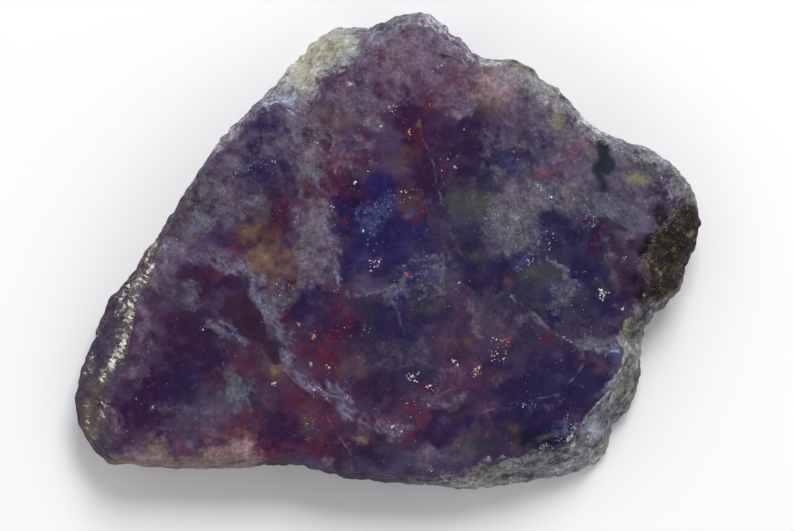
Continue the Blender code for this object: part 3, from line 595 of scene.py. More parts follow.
def outlineRadius(corners, bearing):
    # How far the outline is from the middle along each bearing: the ray meets the side from a to b at
    # cross(a, b - a) / cross(direction, b - a).
    corners = np.array(sorted(corners, key=lambda corner: math.atan2(corner[1], corner[0])))
    side = np.searchsorted(np.arctan2(corners[:, 1], corners[:, 0]), bearing, side="right") - 1
    a, run = corners[side], corners[(side + 1) % len(corners)] - corners[side]
    across = a[..., 0] * run[..., 1] - a[..., 1] * run[..., 0]
    return across / (np.cos(bearing) * run[..., 1] - np.sin(bearing) * run[..., 0])


def roundTheSlab(table, bearing):
    # A table's columns at each bearing, eased by t * t * (3 - 2t) between the two nearest rows.
    rows = np.array(sorted(table))
    degrees = np.degrees(bearing)
    low = np.searchsorted(rows[:, 0], degrees, side="right") - 1
    high = (low + 1) % len(rows)
    part = ((degrees - rows[low, 0]) % 360) / ((rows[high, 0] - rows[low, 0]) % 360)
    part = (part * part * (3 - 2 * part))[..., None]
    return np.moveaxis(rows[low, 1:] * (1 - part) + rows[high, 1:] * part, -1, 0)


def cloudField(x, y, entries, edge=1.2):
    # Soft clouds joined as 1 - product(1 - cloud): a cloud is its strength * exp(-(d^2)^edge), where d is
    # the distance from its middle in lengths of its own turned radii.
    clear = np.ones_like(x)
    for entry in entries:
        middleX, middleY, radiusX, radiusY, strength, turn = entry + (100, 0)[len(entry) - 4:]
        cosine, sine = math.cos(math.radians(turn)), math.sin(math.radians(turn))
        along = ((x - middleX) * cosine + (y - middleY) * sine) / radiusX
        across = ((y - middleY) * cosine - (x - middleX) * sine) / radiusY
        clear *= 1 - strength / 100 * np.exp(-(along ** 2 + across ** 2) ** edge)
    return 1 - clear


def lineDistance(x, y, line):
    # Distance to a broken line, the nearest of the distances to its straight runs, and whether the
    # place is on the left of that run.
    nearest, left = np.full(x.shape, 1e3), np.zeros(x.shape, bool)
    for (startX, startY), (endX, endY) in zip(line[:-1], line[1:]):
        runX, runY = endX - startX, endY - startY
        share = ((x - startX) * runX + (y - startY) * runY) / (runX ** 2 + runY ** 2)
        share = np.clip(share, 0, 1)
        distance = np.hypot(x - startX - share * runX, y - startY - share * runY)
        onLeft = runX * (y - startY) - runY * (x - startX) > 0
        left = np.where(distance < nearest, onLeft, left)
        nearest = np.minimum(nearest, distance)
    return nearest, left


def lineField(x, y, lines, right, left):
    # A line's strength on the line, falling evenly to 0 at so many half widths on its right and left.
    field = np.zeros_like(x)
    for line, halfWidth, strength in lines:
        distance, onLeft = lineDistance(x, y, line)
        field = np.maximum(field, strength * (1 - distance / (halfWidth * np.where(onLeft, left, right))))
    return field


def patchField(x, y, border):
    # A half on a closed border, rising to 1 a millimetre inside it and falling to 0 as far outside.
    inside = np.zeros(x.shape, bool)
    for (startX, startY), (endX, endY) in zip(border, border[1:] + border[:1]):
        level = (startY > y) != (endY > y)
        crossing = startX + (y - startY) * (endX - startX) / (endY - startY if endY != startY else 1)
        inside ^= level & (x < crossing)
    distance = lineDistance(x, y, border + border[:1])[0]
    return np.clip(0.5 + np.where(inside, distance, -distance) / 2, 0, 1)


def squareDisc(cells):
    # A square grid drawn out into a disc: a vertex's share of the radius is the larger of |u| and |v|,
    # and its bearing is its place along that square's rim, evenly spaced.
    u, v = np.meshgrid(np.linspace(-1, 1, cells + 1), np.linspace(-1, 1, cells + 1), indexing="ij")
    share = np.maximum(np.abs(u), np.abs(v))
    safe = np.where(share > 0, share, 1)
    eighths = np.select(
        [(u == share), (v == share), (u == -share)],
        [v / safe, 2 - u / safe, 4 - v / safe],
        -2 + u / safe,
    )
    eighths = np.where(eighths >= 4, eighths - 8, eighths)
    return share.ravel(), (eighths * math.pi / 4).ravel()


def rimOrder(cells):
    # The disc's rim vertices, anticlockwise from the bearing of -180 degrees.
    share, bearing = squareDisc(cells)
    rim = np.flatnonzero(share > 1 - 1e-9)
    return rim[np.argsort(bearing[rim])]


def gridQuads(cells):
    # The quads of a square grid, anticlockwise from above.
    i, j = np.meshgrid(np.arange(cells), np.arange(cells), indexing="ij")
    first = (i * (cells + 1) + j).ravel()
    return np.stack([first, first + cells + 1, first + cells + 2, first + 1], -1)


def bandQuads(upper, lower):
    # The quads between two closed rings of as many vertices, facing outwards.
    return np.stack([upper, lower, np.roll(lower, -1), np.roll(upper, -1)], -1)


def halvingTriangles(outer, inner):
    # Three triangles for each two sides of the outer ring and one of the inner, facing down.
    first, middle, last = outer[0::2], outer[1::2], np.roll(outer, -2)[0::2]
    after = np.roll(inner, -1)
    return np.concatenate([
        np.stack([middle, first, inner], -1),
        np.stack([middle, inner, after], -1),
        np.stack([last, middle, after], -1),
    ])


def normalsOf(rings):
    # Outward normals of a grid of rings: the cross product of the way round and the way up.
    around = np.roll(rings, -1, 1) - np.roll(rings, 1, 1)
    upward = -np.gradient(rings, axis=0)
    normal = np.cross(around, upward)
    return normal / np.linalg.norm(normal, axis=-1, keepdims=True)


def wander(x, y, pitch, seed):
    # A slow wandering of places, about -0.5 to 0.5 along each axis.
    places = np.stack([x, y, np.zeros_like(x)], -1) / pitch
    return cloudNoise(places, 2, seed), cloudNoise(places + 40.5, 2, seed + 50)


def grainOf(x, y, pitch, seed):
    # Two numbers from -0.5 to 0.5 that belong to the crystal grain a place lies in: the grain whose
    # middle is nearest, with one middle at random in each square of the pitch.
    places = np.stack([x, y, np.zeros_like(x)], -1) / pitch
    low = np.floor(places)
    nearest, own = np.full(x.shape, 9.0), np.zeros(x.shape + (2,))
    for step in itertools.product((-1, 0, 1), repeat=2):
        cell = low + (*step, 0)
        away = [cell[..., axis] + latticeRandom(cell, seed + axis) - places[..., axis] for axis in (0, 1)]
        distance = np.hypot(*away)
        drawn = np.stack([latticeRandom(cell, seed + 2 + axis) - 0.5 for axis in (0, 1)], -1)
        own = np.where((distance < nearest)[..., None], drawn, own)
        nearest = np.minimum(nearest, distance)
    return own[..., 0], own[..., 1]


def edgeRadii(bearing):
    # The polished edge and the outline along each bearing, with a little wandering of their own. The
    # outline stays outside the edge by the least shoulder.
    strength = roundTheSlab(flanks, bearing)[2]
    found = []
    for corners, seed in ((polishedEdge, seeds["edge"]), (outline, seeds["outline"])):
        radius = outlineRadius(corners, bearing)
        places = np.stack([radius * np.cos(bearing), radius * np.sin(bearing), 0 * radius], -1)
        ragged = 2 * cloudNoise(places / slab["raggedPitch"], 3, seed) * strength
        found.append(radius + slab["raggedness"] * ragged)
    return found[0], np.maximum(found[1], found[0] + slab["leastShoulder"])


def polishedFace(share, bearing):
    # The polished face at a share of the way out to its edge. It is level, less edgeRoll *
    # exp(-2 * (distance from the rim / edgeRollWidth)^2), less each scoop's depth * its cloud, which is
    # uneven by noise, less a faint dip along each hairline and the uneven pitting of the crust.
    edge = edgeRadii(bearing)[0]
    x, y = share * edge * np.cos(bearing), share * edge * np.sin(bearing)
    rim = (1 - share) * edge / slab["edgeRollWidth"]
    drop = slab["edgeRoll"] * np.exp(-rim ** 2 * 2)
    rough = cloudNoise(np.stack([x, y, 0 * x], -1) / slab["scoopPitch"], 3, seeds["scoops"])
    shiftX, shiftY = wander(x, y, slab["scoopWanderPitch"], seeds["scoopBorders"])
    scoopX, scoopY = x + slab["scoopWander"] * shiftX, y + slab["scoopWander"] * shiftY
    for middleX, middleY, radiusX, radiusY, turn, depth in scoops:
        hollow = cloudField(scoopX, scoopY, [(middleX, middleY, radiusX, radiusY, 100, turn)])
        drop = drop + depth * hollow * (1 + slab["scoopRoughness"] * rough)
    reach = slab["hairlineDipReach"]
    drop = drop + slab["hairlineDip"] * np.clip(lineField(x, y, hairlines, reach, reach), 0, 1)
    drop = drop + cloudField(x, y, clouds["stain"]) * (slab["crustDip"] + slab["crustRoughness"] * rough)
    return np.stack([x, y, slab["thickness"] - np.maximum(drop, 0)], -1)


def flankRings(bearing, rimHeight):
    # Rings down the broken flank: from the polished edge out to the outline, sinking by
    # share^roundness, then in to the sawn face's edge by share^undercutCurve. All are pushed along
    # their normals by lumps, facets, ledges and grains, times 1 - exp(-(distance from the nearer edge /
    # calmRim)^2). What they stick out past the outline, averaged over some columns, is taken back.
    edge, widest = edgeRadii(bearing)
    drop, setBack, strength, roundness = roundTheSlab(flanks, bearing)
    shoulder = np.linspace(0, 1, slab["shoulderRings"] + 1)[1:, None]
    lower = np.linspace(0, 1, slab["flankRings"] + 1)[1:, None]
    radius = np.concatenate([
        edge[None], edge + (widest - edge) * shoulder, widest - setBack * lower ** slab["undercutCurve"],
    ])
    height = np.concatenate([
        rimHeight[None], rimHeight - drop * shoulder ** roundness, (rimHeight - drop) * (1 - lower),
    ])
    rings = np.stack([radius * np.cos(bearing), radius * np.sin(bearing), height], -1)
    lumps = 2 * cloudNoise(rings / slab["lumpPitch"], 2, seeds["lumps"])
    facetPlaces = rings / slab["facetPitch"]
    facets = facetNoise(facetPlaces, seeds["facets"], slab["facetSharpness"])
    smallPlaces = facetPlaces * slab["smallFacetsFiner"]
    smallFacets = facetNoise(smallPlaces, seeds["smallFacets"], slab["facetSharpness"])
    facets = facets + slab["smallFacets"] * smallFacets
    drift = slab["ledgeDrift"] * cloudNoise(rings / slab["ledgeDriftPitch"], 2, seeds["ledges"])
    ledge = (rings[..., 2] / slab["ledgePitch"] + drift) % 1
    ledges = np.minimum(ledge * 1.25, (1 - ledge) * 5) - 0.5  # a slow rise, then a quick fall
    grains = facetNoise(rings / slab["grainPitch"], seeds["grains"], slab["grainSharpness"])
    fine = cloudNoise(rings / slab["finePitch"], 2, seeds["fine"])
    push = slab["lumps"] * lumps + slab["facets"] * facets + slab["ledges"] * ledges
    push = strength * push + (0.4 + 0.6 * strength) * (slab["grains"] * grains + slab["fine"] * fine)
    fromTop = np.linalg.norm(rings - rings[:1], axis=-1)
    fromBottom = np.linalg.norm(rings - rings[-1:], axis=-1)
    calm = np.minimum(fromTop, fromBottom) / slab["calmRim"]
    push *= 1 - np.exp(-calm ** 2)
    rings = rings + normalsOf(rings) * push[..., None]
    reach = np.hypot(rings[..., 0], rings[..., 1])
    excess = reach.max(0) - widest
    beside = slab["evenColumns"]
    excess = np.concatenate([excess[-beside:], excess, excess[:beside]])
    excess = np.convolve(excess, np.ones(2 * beside + 1) / (2 * beside + 1), "valid")
    hold = np.concatenate([[[0.0]], shoulder, 1 - lower ** 2])
    rings[..., :2] *= (1 - excess * hold / reach)[..., None]
    rings[..., 2] = np.clip(rings[..., 2], 0, slab["thickness"] - slab["underTop"])
    rings[-1, :, 2] = 0
    return rings[1:]


def stoneMesh():
    # One closed skin: the polished face as a square grid drawn out to its edge, rings down the flank,
    # and the sawn face, whose rings lose half their vertices three times before a small grid fills it.
    cells = slab["cells"]
    share, bearing = squareDisc(cells)
    top = polishedFace(share, bearing)
    rim = rimOrder(cells)
    rimBearing = bearing[rim]
    flank = flankRings(rimBearing, top[rim, 2])
    ringCount, around = flank.shape[:2]
    blocks, count = [top, flank.reshape(-1, 3)], len(top)
    rings = [rim] + [count + ring * around + np.arange(around) for ring in range(ringCount)]
    count += ringCount * around
    quads, triangles = [gridQuads(cells)], []
    kinds = [np.zeros(cells * cells, int)]
    for upper, lower in zip(rings[:-1], rings[1:]):
        quads.append(bandQuads(upper, lower))
        kinds.append(np.ones(around, int))
    sawnEdge, outer, width = flank[-1], rings[-1], cells
    for shrink in slab["sawnShrinks"]:
        width //= 2
        step = around // (4 * width)
        inner = count + np.arange(4 * width)
        blocks.append(sawnEdge[::step] * (shrink, shrink, 1))
        count += 4 * width
        if shrink == slab["sawnShrinks"][-1]:
            gridShare, gridBearing = squareDisc(width)
            columns = np.rint((gridBearing + math.pi) / math.tau * around).astype(int) % around
            blocks[-1] = sawnEdge[columns] * (gridShare * shrink)[:, None]
            blocks[-1][:, 2] = 0
            inner = count - 4 * width + rimOrder(width)
            quads.append(gridQuads(width)[:, ::-1] + count - 4 * width)
        triangles.append(halvingTriangles(outer, inner))
        outer = inner
    sawnQuads = len(quads[-1])
    kinds.append(np.full(sawnQuads + sum(len(part) for part in triangles), 2))
    vertices = np.concatenate(blocks)
    return vertices, np.concatenate(quads), np.concatenate(triangles), np.concatenate(kinds), rings


vertices, quads, triangles, kinds, rings = stoneMesh()
print("stone worked out:", len(vertices), "vertices,", 2 * len(quads) + len(triangles), "triangles")
middle = (vertices[:, :2].max(0) + vertices[:, :2].min(0)) / 2
cadMiddle = [(cadBox[0][axis] + cadBox[1][axis]) / 2 / millimetre for axis in (0, 1)]
shift = np.array([cadMiddle[0] - middle[0], cadMiddle[1] - middle[1], 0.0])
print("moved by", shift, "mm to lie over the packed slab")


# How far the places wander at which the clouds, cracks and patches are read. The drifts and the large
# and small grains are each given by pitch and seed.
drifts = {
    "slow": (2.6, 61), "quick": (0.8, 65), "swell": (1.9, 69), "fringe": (0.55, 73),
    "grain": (1.5, 81), "small": (0.6, 91),
    "grainRag": (0.9, 0.4),          # how far quick bends the borders of the large and small grains
    "clouds": (1.8, 0.8, 1.1, 0.4),  # how far slow, quick, grain and small move the clouds
    "cracks": (0.6, 0.35, 0.25, 0.15),
    "lines": 0.3, "borders": 0.5,    # how far quick moves hairlines and the patches' borders
    "flank": (1.2, 0.7),             # how far slow and grain move the border of the flank's grains
    "sunkFrom": 1.5, "sunkOver": 4, "sunkPitch": 3.2, "sunk": 8,  # down the flank the tones go astray
}
# Clouds with sharper borders, which the cracks' smaller drift moves.
sharpClouds = ("straw", "amber", "night", "frostAndGlints", "rust", "rose", "olive", "chill", "tan", "shade")
cloudEdges = {"sharp": 0.85, "soft": 1.2}
# Over how many half widths the lines fade on their right and left.
lineSides = {"crack": (1.7, 4.2), "hairline": (4.0, 4.0), "darkSeam": (4.0, 2.6), "cream": (3.6, 3.6)}
rimStrip = 1.1  # width of the flank's outermost strip, where grit takes the place of bark and stain


def stoneFields(points):
    # What the materials read at each vertex: clouds, cracks and patches at places that wander a
    # little, and much more the further down the flank they are, and the flank's tones by bearing,
    # which grow over the strip from inside the polished edge to outside it.
    sunk = np.clip((slab["thickness"] - points[:, 2] - drifts["sunkFrom"]) / drifts["sunkOver"], 0, 1)
    astray = [cloudNoise(points / drifts["sunkPitch"] + away, 3, seeds["depth"]) for away in (0, 40.5)]
    x = points[:, 0] + drifts["sunk"] * sunk * astray[0]
    y = points[:, 1] + drifts["sunk"] * sunk * astray[1]
    slow, quick = wander(x, y, *drifts["slow"]), wander(x, y, *drifts["quick"])
    ragged = [(x + rag * quick[0], y + rag * quick[1]) for rag in drifts["grainRag"]]
    grain, small = grainOf(*ragged[0], *drifts["grain"]), grainOf(*ragged[1], *drifts["small"])
    moves = np.array([slow, quick, grain, small])
    cloudPlaces = np.tensordot(drifts["clouds"], moves, 1) + (x, y)
    crackPlaces = np.tensordot(drifts["cracks"], moves, 1) + (x, y)
    fields = {}
    for name, entries in clouds.items():
        sharp = name in sharpClouds
        places = crackPlaces if sharp else cloudPlaces
        fields[name] = cloudField(*places, entries, cloudEdges["sharp" if sharp else "soft"])
    swell, fringe = wander(x, y, *drifts["swell"])[0], wander(x, y, *drifts["fringe"])[0]
    crack = lineField(*crackPlaces, cracks, *lineSides["crack"]) * (0.95 + 1.3 * swell)
    fields["crack"] = np.clip(crack + 0.5 * np.minimum(fringe, 0.1), 0, 1)
    lineX, lineY = x + drifts["lines"] * quick[0], y + drifts["lines"] * quick[1]
    hairline = lineField(lineX, lineY, hairlines, *lineSides["hairline"])
    fields["hairline"] = hairline * np.clip(1.1 + 1.6 * swell, 0.5, 1)
    darkSeam = lineField(lineX, lineY, darkSeams, *lineSides["darkSeam"])
    fields["darkSeam"] = np.clip(darkSeam * (1 + 1.6 * swell), 0, 1)
    cream = lineField(lineX, lineY, creamStreaks, *lineSides["cream"])
    fields["cream"] = np.clip(cream - 1.2 * sunk, 0, 1)
    borderX, borderY = x + drifts["borders"] * quick[0], y + drifts["borders"] * quick[1]
    for name, border in patches.items():
        fields[name] = patchField(borderX, borderY, border)
    *shares, inward, outward = roundTheSlab(flankTones, np.arctan2(y, x))
    own = np.arctan2(points[:, 1], points[:, 0])
    reach = np.hypot(points[:, 0], points[:, 1])
    uneven = drifts["flank"][0] * slow[0] + drifts["flank"][1] * grain[0]
    inFromEdge = outlineRadius(polishedEdge, own) - reach + uneven * np.minimum(inward, 1)
    reached = np.clip((inward - inFromEdge) / (inward + outward), 0, 1)
    for name, values in zip(("grit", "sugar", "pale", "bark"), shares):
        fields[name] = values * reached
    inFromRim = np.clip(outlineRadius(outline, own) - reach, 0, None)
    outermost = np.clip(1 - inFromRim / rimStrip, 0, 1)
    fields["grit"] *= (1 - shares[3] * (1 - outermost)) * (1 - 0.9 * fields["night"])
    fields["bark"] *= (1 - 0.6 * outermost) * (1 - 0.8 * fields["straw"])
    fields["stain"] *= 1 - 0.85 * outermost
    return fields


# How the map is laid out: for the polished and the sawn face half their length and width in
# millimetres, the share of the map that they fill and its corner, and the same for the flank's strips.
bakeLayout = {
    "face": ((31.8, 24.6), (1, 0.765), (0, 0)),
    "sawn": ((32, 25), (0.225, 0.21), (0.765, 0.78)),
    "strips": 4, "stripSize": (0.745, 0.05), "stripCorner": (0.004, 0.775), "stripPitch": 0.056,
}


def laidFlat(vertices, half, size, corner):
    # Places on a level face, brought to corner + (place + half) / (2 * half) * size.
    return (vertices[:, :2] + half) / (2 * np.array(half)) * size + corner


def bakeMap(vertices, quads, triangles, kinds, rings):
    # The map for baking: the polished face as it lies, the flank as four strips of
    # a quarter of the way round each, and the sawn face small beside them.
    lie, small = laidFlat(vertices, *bakeLayout["face"]), laidFlat(vertices, *bakeLayout["sawn"])
    flat = np.where((kinds[:len(quads)] == 2)[:, None, None], small[quads], lie[quads])
    bands, around = len(rings) - 1, len(rings[0])
    quarter = around // bakeLayout["strips"]
    level, column = np.divmod(np.arange(bands * around), around)
    (width, height), (startX, startY) = bakeLayout["stripSize"], bakeLayout["stripCorner"]
    left = column % quarter / quarter * width + startX
    right = (column % quarter + 1) / quarter * width + startX
    strip = startY + (bakeLayout["strips"] - 1 - column // quarter) * bakeLayout["stripPitch"]
    high, low = strip + (1 - level / bands) * height, strip + (1 - (level + 1) / bands) * height
    corners = ((left, high), (left, low), (right, low), (right, high))
    flat[kinds[:len(quads)] == 1] = np.moveaxis(np.array(corners), -1, 0)
    return np.concatenate([flat.reshape(-1, 2), small[triangles].reshape(-1, 2)])


def makeMesh(name, vertices, faces, materials, kinds=None):
    # A mesh object at the origin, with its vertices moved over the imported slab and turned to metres.
    mesh = bpy.data.meshes.new(name)
    mesh.from_pydata(((vertices + shift) * millimetre).tolist(), [], faces)
    for material in materials:
        mesh.materials.append(material)
    if kinds is not None:
        mesh.polygons.foreach_set("material_index", kinds.astype(np.int32))
    mesh.shade_smooth()
    piece = bpy.data.objects.new(name, mesh)
    bpy.context.scene.collection.objects.link(piece)
    return piece


def addField(mesh, name, values):
    mesh.attributes.new(name, "FLOAT", "POINT").data.foreach_set("value", values.astype(np.float32))


def newNode(tree, kind, inputs, **settings):
    # Adds a node: an input given as a socket is wired, and any other is set.
    node = tree.nodes.new(kind)
    for name, value in settings.items():
        setattr(node, name, value)
    for name, value in inputs.items():
        if isinstance(value, bpy.types.NodeSocket):
            tree.links.new(value, node.inputs[name])
        else:
            node.inputs[name].default_value = value
    return node


def reckon(tree, operation, *values):
    return newNode(tree, "ShaderNodeMath", dict(enumerate(values)), operation=operation).outputs[0]


def times(tree, value, factor):
    return reckon(tree, "MULTIPLY", value, factor)


def timesPlus(tree, value, factor, more):
    return reckon(tree, "MULTIPLY_ADD", value, factor, more)


def blendColour(tree, share, low, high, way="MIX"):
    # From the low to the high colour by the share. A colour is a socket or its red, green and blue.
    inputs = {0: share}
    for slot, colour in ((6, low), (7, high)):
        inputs[slot] = (*colour, 1) if isinstance(colour, tuple) else colour
    return newNode(tree, "ShaderNodeMix", inputs, data_type="RGBA", blend_type=way).outputs[2]


def ramp(tree, value, start, end, low=0.0, high=1.0):
    # From low to high while the value goes from start to end, eased by t * t * (3 - 2t).
    inputs = {"Value": value, "From Min": start, "From Max": end, "To Min": low, "To Max": high}
    return newNode(tree, "ShaderNodeMapRange", inputs, interpolation_type="SMOOTHSTEP").outputs["Result"]


def evened(tree, value, start=0.3, end=0.7):
    # A noise brought from its own narrow range to -1 to 1.
    inputs = {"Value": value, "From Min": start, "From Max": end, "To Min": -1.0, "To Max": 1.0}
    return newNode(tree, "ShaderNodeMapRange", inputs).outputs["Result"]


def field(tree, name):
    return newNode(tree, "ShaderNodeAttribute", {}, attribute_name=name).outputs["Fac"]


def millimetres(tree, stretch=(1, 1, 1), turn=0.0, away=(0, 0, 0)):
    # The piece's own places in millimetres, turned about z, stretched and moved away.
    places = newNode(tree, "ShaderNodeTexCoord", {}).outputs["Object"]
    turned = newNode(tree, "ShaderNodeMapping", {"Vector": places, "Rotation": (0, 0, math.radians(turn))})
    scale = [1 / millimetre / part for part in stretch]
    inputs = {"Vector": turned.outputs[0], "Scale": scale, "Location": away}
    return newNode(tree, "ShaderNodeMapping", inputs).outputs[0]


def noise(tree, places, perMillimetre, detail=2.0, roughness=0.5, distortion=0.0):
    # Its outputs: "Fac", from 0 to 1 with most of it near the middle, and "Color", three more of them.
    return newNode(tree, "ShaderNodeTexNoise", {
        "Vector": places, "Scale": perMillimetre, "Detail": detail, "Roughness": roughness,
        "Distortion": distortion,
    }).outputs


def ridges(tree, places, perMillimetre):
    # Fine bright threads on darker ground, about -1 to 1.
    threads = newNode(tree, "ShaderNodeTexNoise", {
        "Vector": places, "Scale": perMillimetre, "Detail": 3.0, "Roughness": 0.5, "Offset": 1.0,
        "Gain": 1.0,
    }, noise_type="RIDGED_MULTIFRACTAL")
    return evened(tree, threads.outputs["Fac"], 0.3, 1.65)


def vectorSum(tree, places, colour, factor):
    # Places moved by a colour's red, green and blue times a factor.
    inputs = {0: colour, "Scale": factor}
    moves = newNode(tree, "ShaderNodeVectorMath", inputs, operation="SCALE").outputs[0]
    return newNode(tree, "ShaderNodeVectorMath", {0: places, 1: moves}, operation="ADD").outputs[0]


def channels(tree, colour):
    return newNode(tree, "ShaderNodeSeparateColor", {"Color": colour}).outputs


def specks(tree, places, perMillimetre, share, size):
    # Small round specks: cells of a Voronoi pattern, of which only the given share is kept, and of
    # those only what is nearer to the cell's point than the given size.
    cells = newNode(tree, "ShaderNodeTexVoronoi", {"Vector": places, "Scale": perMillimetre})
    chance = channels(tree, cells.outputs["Color"])
    kept = ramp(tree, reckon(tree, "ADD", chance[0], share), 0.98, 1.02)
    near = ramp(tree, cells.outputs["Distance"], size, size * 0.5)
    return times(tree, kept, near), chance[1]


def sprinkle(tree, colour, kind, share):
    # Lays one kind of specks over a colour, each speck of its own mix of the kind's two tints.
    perMillimetre, size, deep, bright, covers, away = speckKinds[kind]
    kept, tint = specks(tree, millimetres(tree, away=away), perMillimetre, share, size)
    own = blendColour(tree, tint, deep, bright)
    return blendColour(tree, times(tree, kept, covers), colour, own)


def crystals(tree, places, perMillimetre):
    # Crushed crystals: cells with a chance number each, on places that wander by half a cell.
    drift = noise(tree, places, perMillimetre * 0.8, detail=2)
    moved = vectorSum(tree, places, drift["Color"], 1.6 / perMillimetre)
    cells = newNode(tree, "ShaderNodeTexVoronoi", {"Vector": moved, "Scale": perMillimetre})
    return channels(tree, cells.outputs["Color"])


# The stone's ground. A noise is given by how many a millimetre, detail, roughness and distortion, a
# pattern's lie by its stretch, turn in degrees and where it starts, and each of two tints by where the
# swirl brings it in.
ground = {
    "swirl": (0.28, 6, 0.55, 0.35), "cloud": (0.8, 4, 0.5, 0.2), "grain": (3.6, 3, 0.6),
    "wisps": (1.0, 6, 0.6, 0.5), "wispsLie": ((1.0, 1.35, 1.0), -42, (9, 4, 0)),
    "threads": 1.5, "threadsLie": ((1.0, 2.2, 1.0), -42, (2, 7, 0)),
    "lace": 1.7, "laceLie": ((1.0, 1.3, 1.0), 20, (5, 3, 0)),
    "dark": (0.027, 0.012, 0.043), "light": (0.06, 0.041, 0.086), "lightFrom": (0.34, 0.66),
    "tints": (((0.04, 0.034, 0.088), 0.42, 0.7), ((0.056, 0.014, 0.038), 0.5, 0.72)), "tinted": 0.5,
    "veil": 0.1,  # least share of pale matter, which brings seams, dust and sparkle
    "seams": 0.34, "seamColour": (0.11, 0.1, 0.16), "seamDrift": 4.0, "seamWidth": 0.04,
    "seamInWisps": (0.48, 0.66, 0, 0.35), "seamInVeil": (0.0, 0.3, 0.2, 1.0),
}

# The shade over all of it: how light or dark each pattern makes it, the crystals also by how many a
# millimetre. Lace follows the veil by factor and least, and each of red, green and blue follows the
# shade by factor, lift and how far it leans to the warm clouds.
shading = {
    "grain": 0.07, "cloud": 0.14, "swirl": 0.1, "lace": (0.2, 0.04),
    "crystals": ((0.55, 0.13), (1.5, 0.17), (4.6, 0.12)),
    "crumbs": 3.4, "crumbGrain": 0.4, "sparkle": 0.42,
    "channels": ((0.92, 0.09, 0.12), (1.02, 0.01, -0.08), (1.08, -0.11, 0.05)),
}

# Specks in the stone: how many a millimetre, their size as a share of a cell, two tints, how much they
# cover, and where the pattern starts.
speckKinds = {
    "pale": (3.8, 0.36, (0.2, 0.19, 0.28), (0.36, 0.33, 0.38), 0.55, (0, 0, 0)),
    "blue": (3.4, 0.42, (0.06, 0.07, 0.17), (0.21, 0.25, 0.42), 0.7, (1.7, 4.3, 0)),
    "red": (2.9, 0.48, (0.08, 0.008, 0.022), (0.15, 0.03, 0.04), 0.6, (3.3, 7.1, 0)),
    "dark": (3.4, 0.4, (0.014, 0.009, 0.02), (0.014, 0.009, 0.02), 0.4, (5.7, 1.9, 0)),
    "ochre": (2.3, 0.5, (0.045, 0.028, 0.01), (0.24, 0.2, 0.11), 0.75, (0, 0, 0)),
}
# Which share of the cells have one: a factor on the field that they follow and what is added to it, or
# for the dark ones the share itself.
speckShares = {"pale": (0.2, -0.01), "blue": 0.45, "red": (0.42, 0.012), "dark": 0.07, "ochre": 0.32}

# How each tone lies in the stone: its colour, the most that it covers, where its field starts to
# show and where it is full, and how much the clouding and the grain break it up.
tones = {
    "slate": ((0.046, 0.042, 0.078), 0.8, 0.02, 1.0, 0.35, 0.04),
    "wine": ((0.044, 0.015, 0.044), 0.88, 0.05, 0.95, 0.42, 0.04),
    "ember": ((0.084, 0.02, 0.038), 0.88, 0.05, 0.9, 0.42, 0.06),
    "steel": ((0.023, 0.018, 0.047), 0.88, 0.05, 0.9, 0.42, 0.04),
    "plum": ((0.02, 0.007, 0.035), 0.9, 0.05, 0.9, 0.42, 0.03),
    "navy": ((0.017, 0.011, 0.05), 0.92, 0.05, 0.85, 0.38, 0.03),
    "indigo": ((0.014, 0.011, 0.072), 0.9, 0.05, 0.95, 0.36, 0.04),
    "clay": ((0.08, 0.047, 0.048), 0.72, 0.05, 1.0, 0.4, 0.05),
    "mist": ((0.146, 0.114, 0.166), 0.88, 0.04, 1.0, 0.34, 0.08),
    "mauve": ((0.156, 0.112, 0.155), 0.8, 0.05, 1.0, 0.38, 0.12),
    "milk": ((0.116, 0.105, 0.14), 0.86, 0.06, 1.0, 0.42, 0.2),
    "stain": ((0.013, 0.005, 0.005), 0.96, 0.08, 0.8, 0.3, 0.12),
    "olive": ((0.06, 0.058, 0.058), 0.74, 0.05, 1.0, 0.35, 0.04),
    "amber": ((0.138, 0.086, 0.048), 0.72, 0.04, 1.05, 0.32, 0.06),
    "straw": ((0.205, 0.182, 0.118), 0.8, 0.06, 0.95, 0.3, 0.06),
    "rose": ((0.16, 0.058, 0.096), 0.58, 0.05, 1.1, 0.4, 0.25),
    "rust": ((0.062, 0.01, 0.028), 0.62, 0.08, 1.15, 0.45, 0.35),
    "night": ((0.007, 0.006, 0.022), 0.93, 0.05, 0.85, 0.3, 0.04),
    "blush": ((0.2, 0.132, 0.128), 0.88, 0.05, 1.0, 0.32, 0.12),
    "petal": ((0.23, 0.168, 0.178), 0.85, 0.05, 0.95, 0.35, 0.15),
    "grime": ((0.2, 0.19, 0.23), 0.82, 0.08, 0.95, 0.34, 0.35),
    "sliver": ((0.029, 0.012, 0.03), 0.92, 0.43, 0.58, 0.08, 0.02),
    "tongue": ((0.094, 0.082, 0.132), 0.7, 0.44, 0.62, 0.06, 0.04),
    "azure": ((0.052, 0.064, 0.17), 0.6, 0.1, 1.1, 0.35, 0.35),
    "crack": ((0.118, 0.112, 0.168), 0.9, 0.08, 0.95, 0.32, 0.16),
    "core": ((0.2, 0.2, 0.29), 0.6, 0.85, 1.25, 0.4, 0.25),
    "darkSeam": ((0.018, 0.011, 0.018), 0.65, 0.3, 1.0, 0.3, 0.2),
    # frost: pale veins, and painted glints and reflections of broken facets
    "frostAndGlints": ((0.26, 0.28, 0.39), 0.85, 0.2, 0.85, 0.25, 0.4),
    "hairline": ((0.105, 0.1, 0.165), 0.55, 0.5, 0.95, 0.3, 0.1),
    "plume": ((0.013, 0.016, 0.027), 0.95, 0.28, 0.6, 0.12, 0.08),
}

# Tones that the wisps or the threads break up, and those that thicken or thin the veil.
wispyTones = ("milk", "mauve", "mist")
threadedTones = ("crack", "core", "azure", "tongue")
paleTones = ("milk", "crack", "mauve", "mist", "grime", "blush", "petal", "frostAndGlints", "tongue")
darkTones = ("night", "sliver", "plume", "stain")


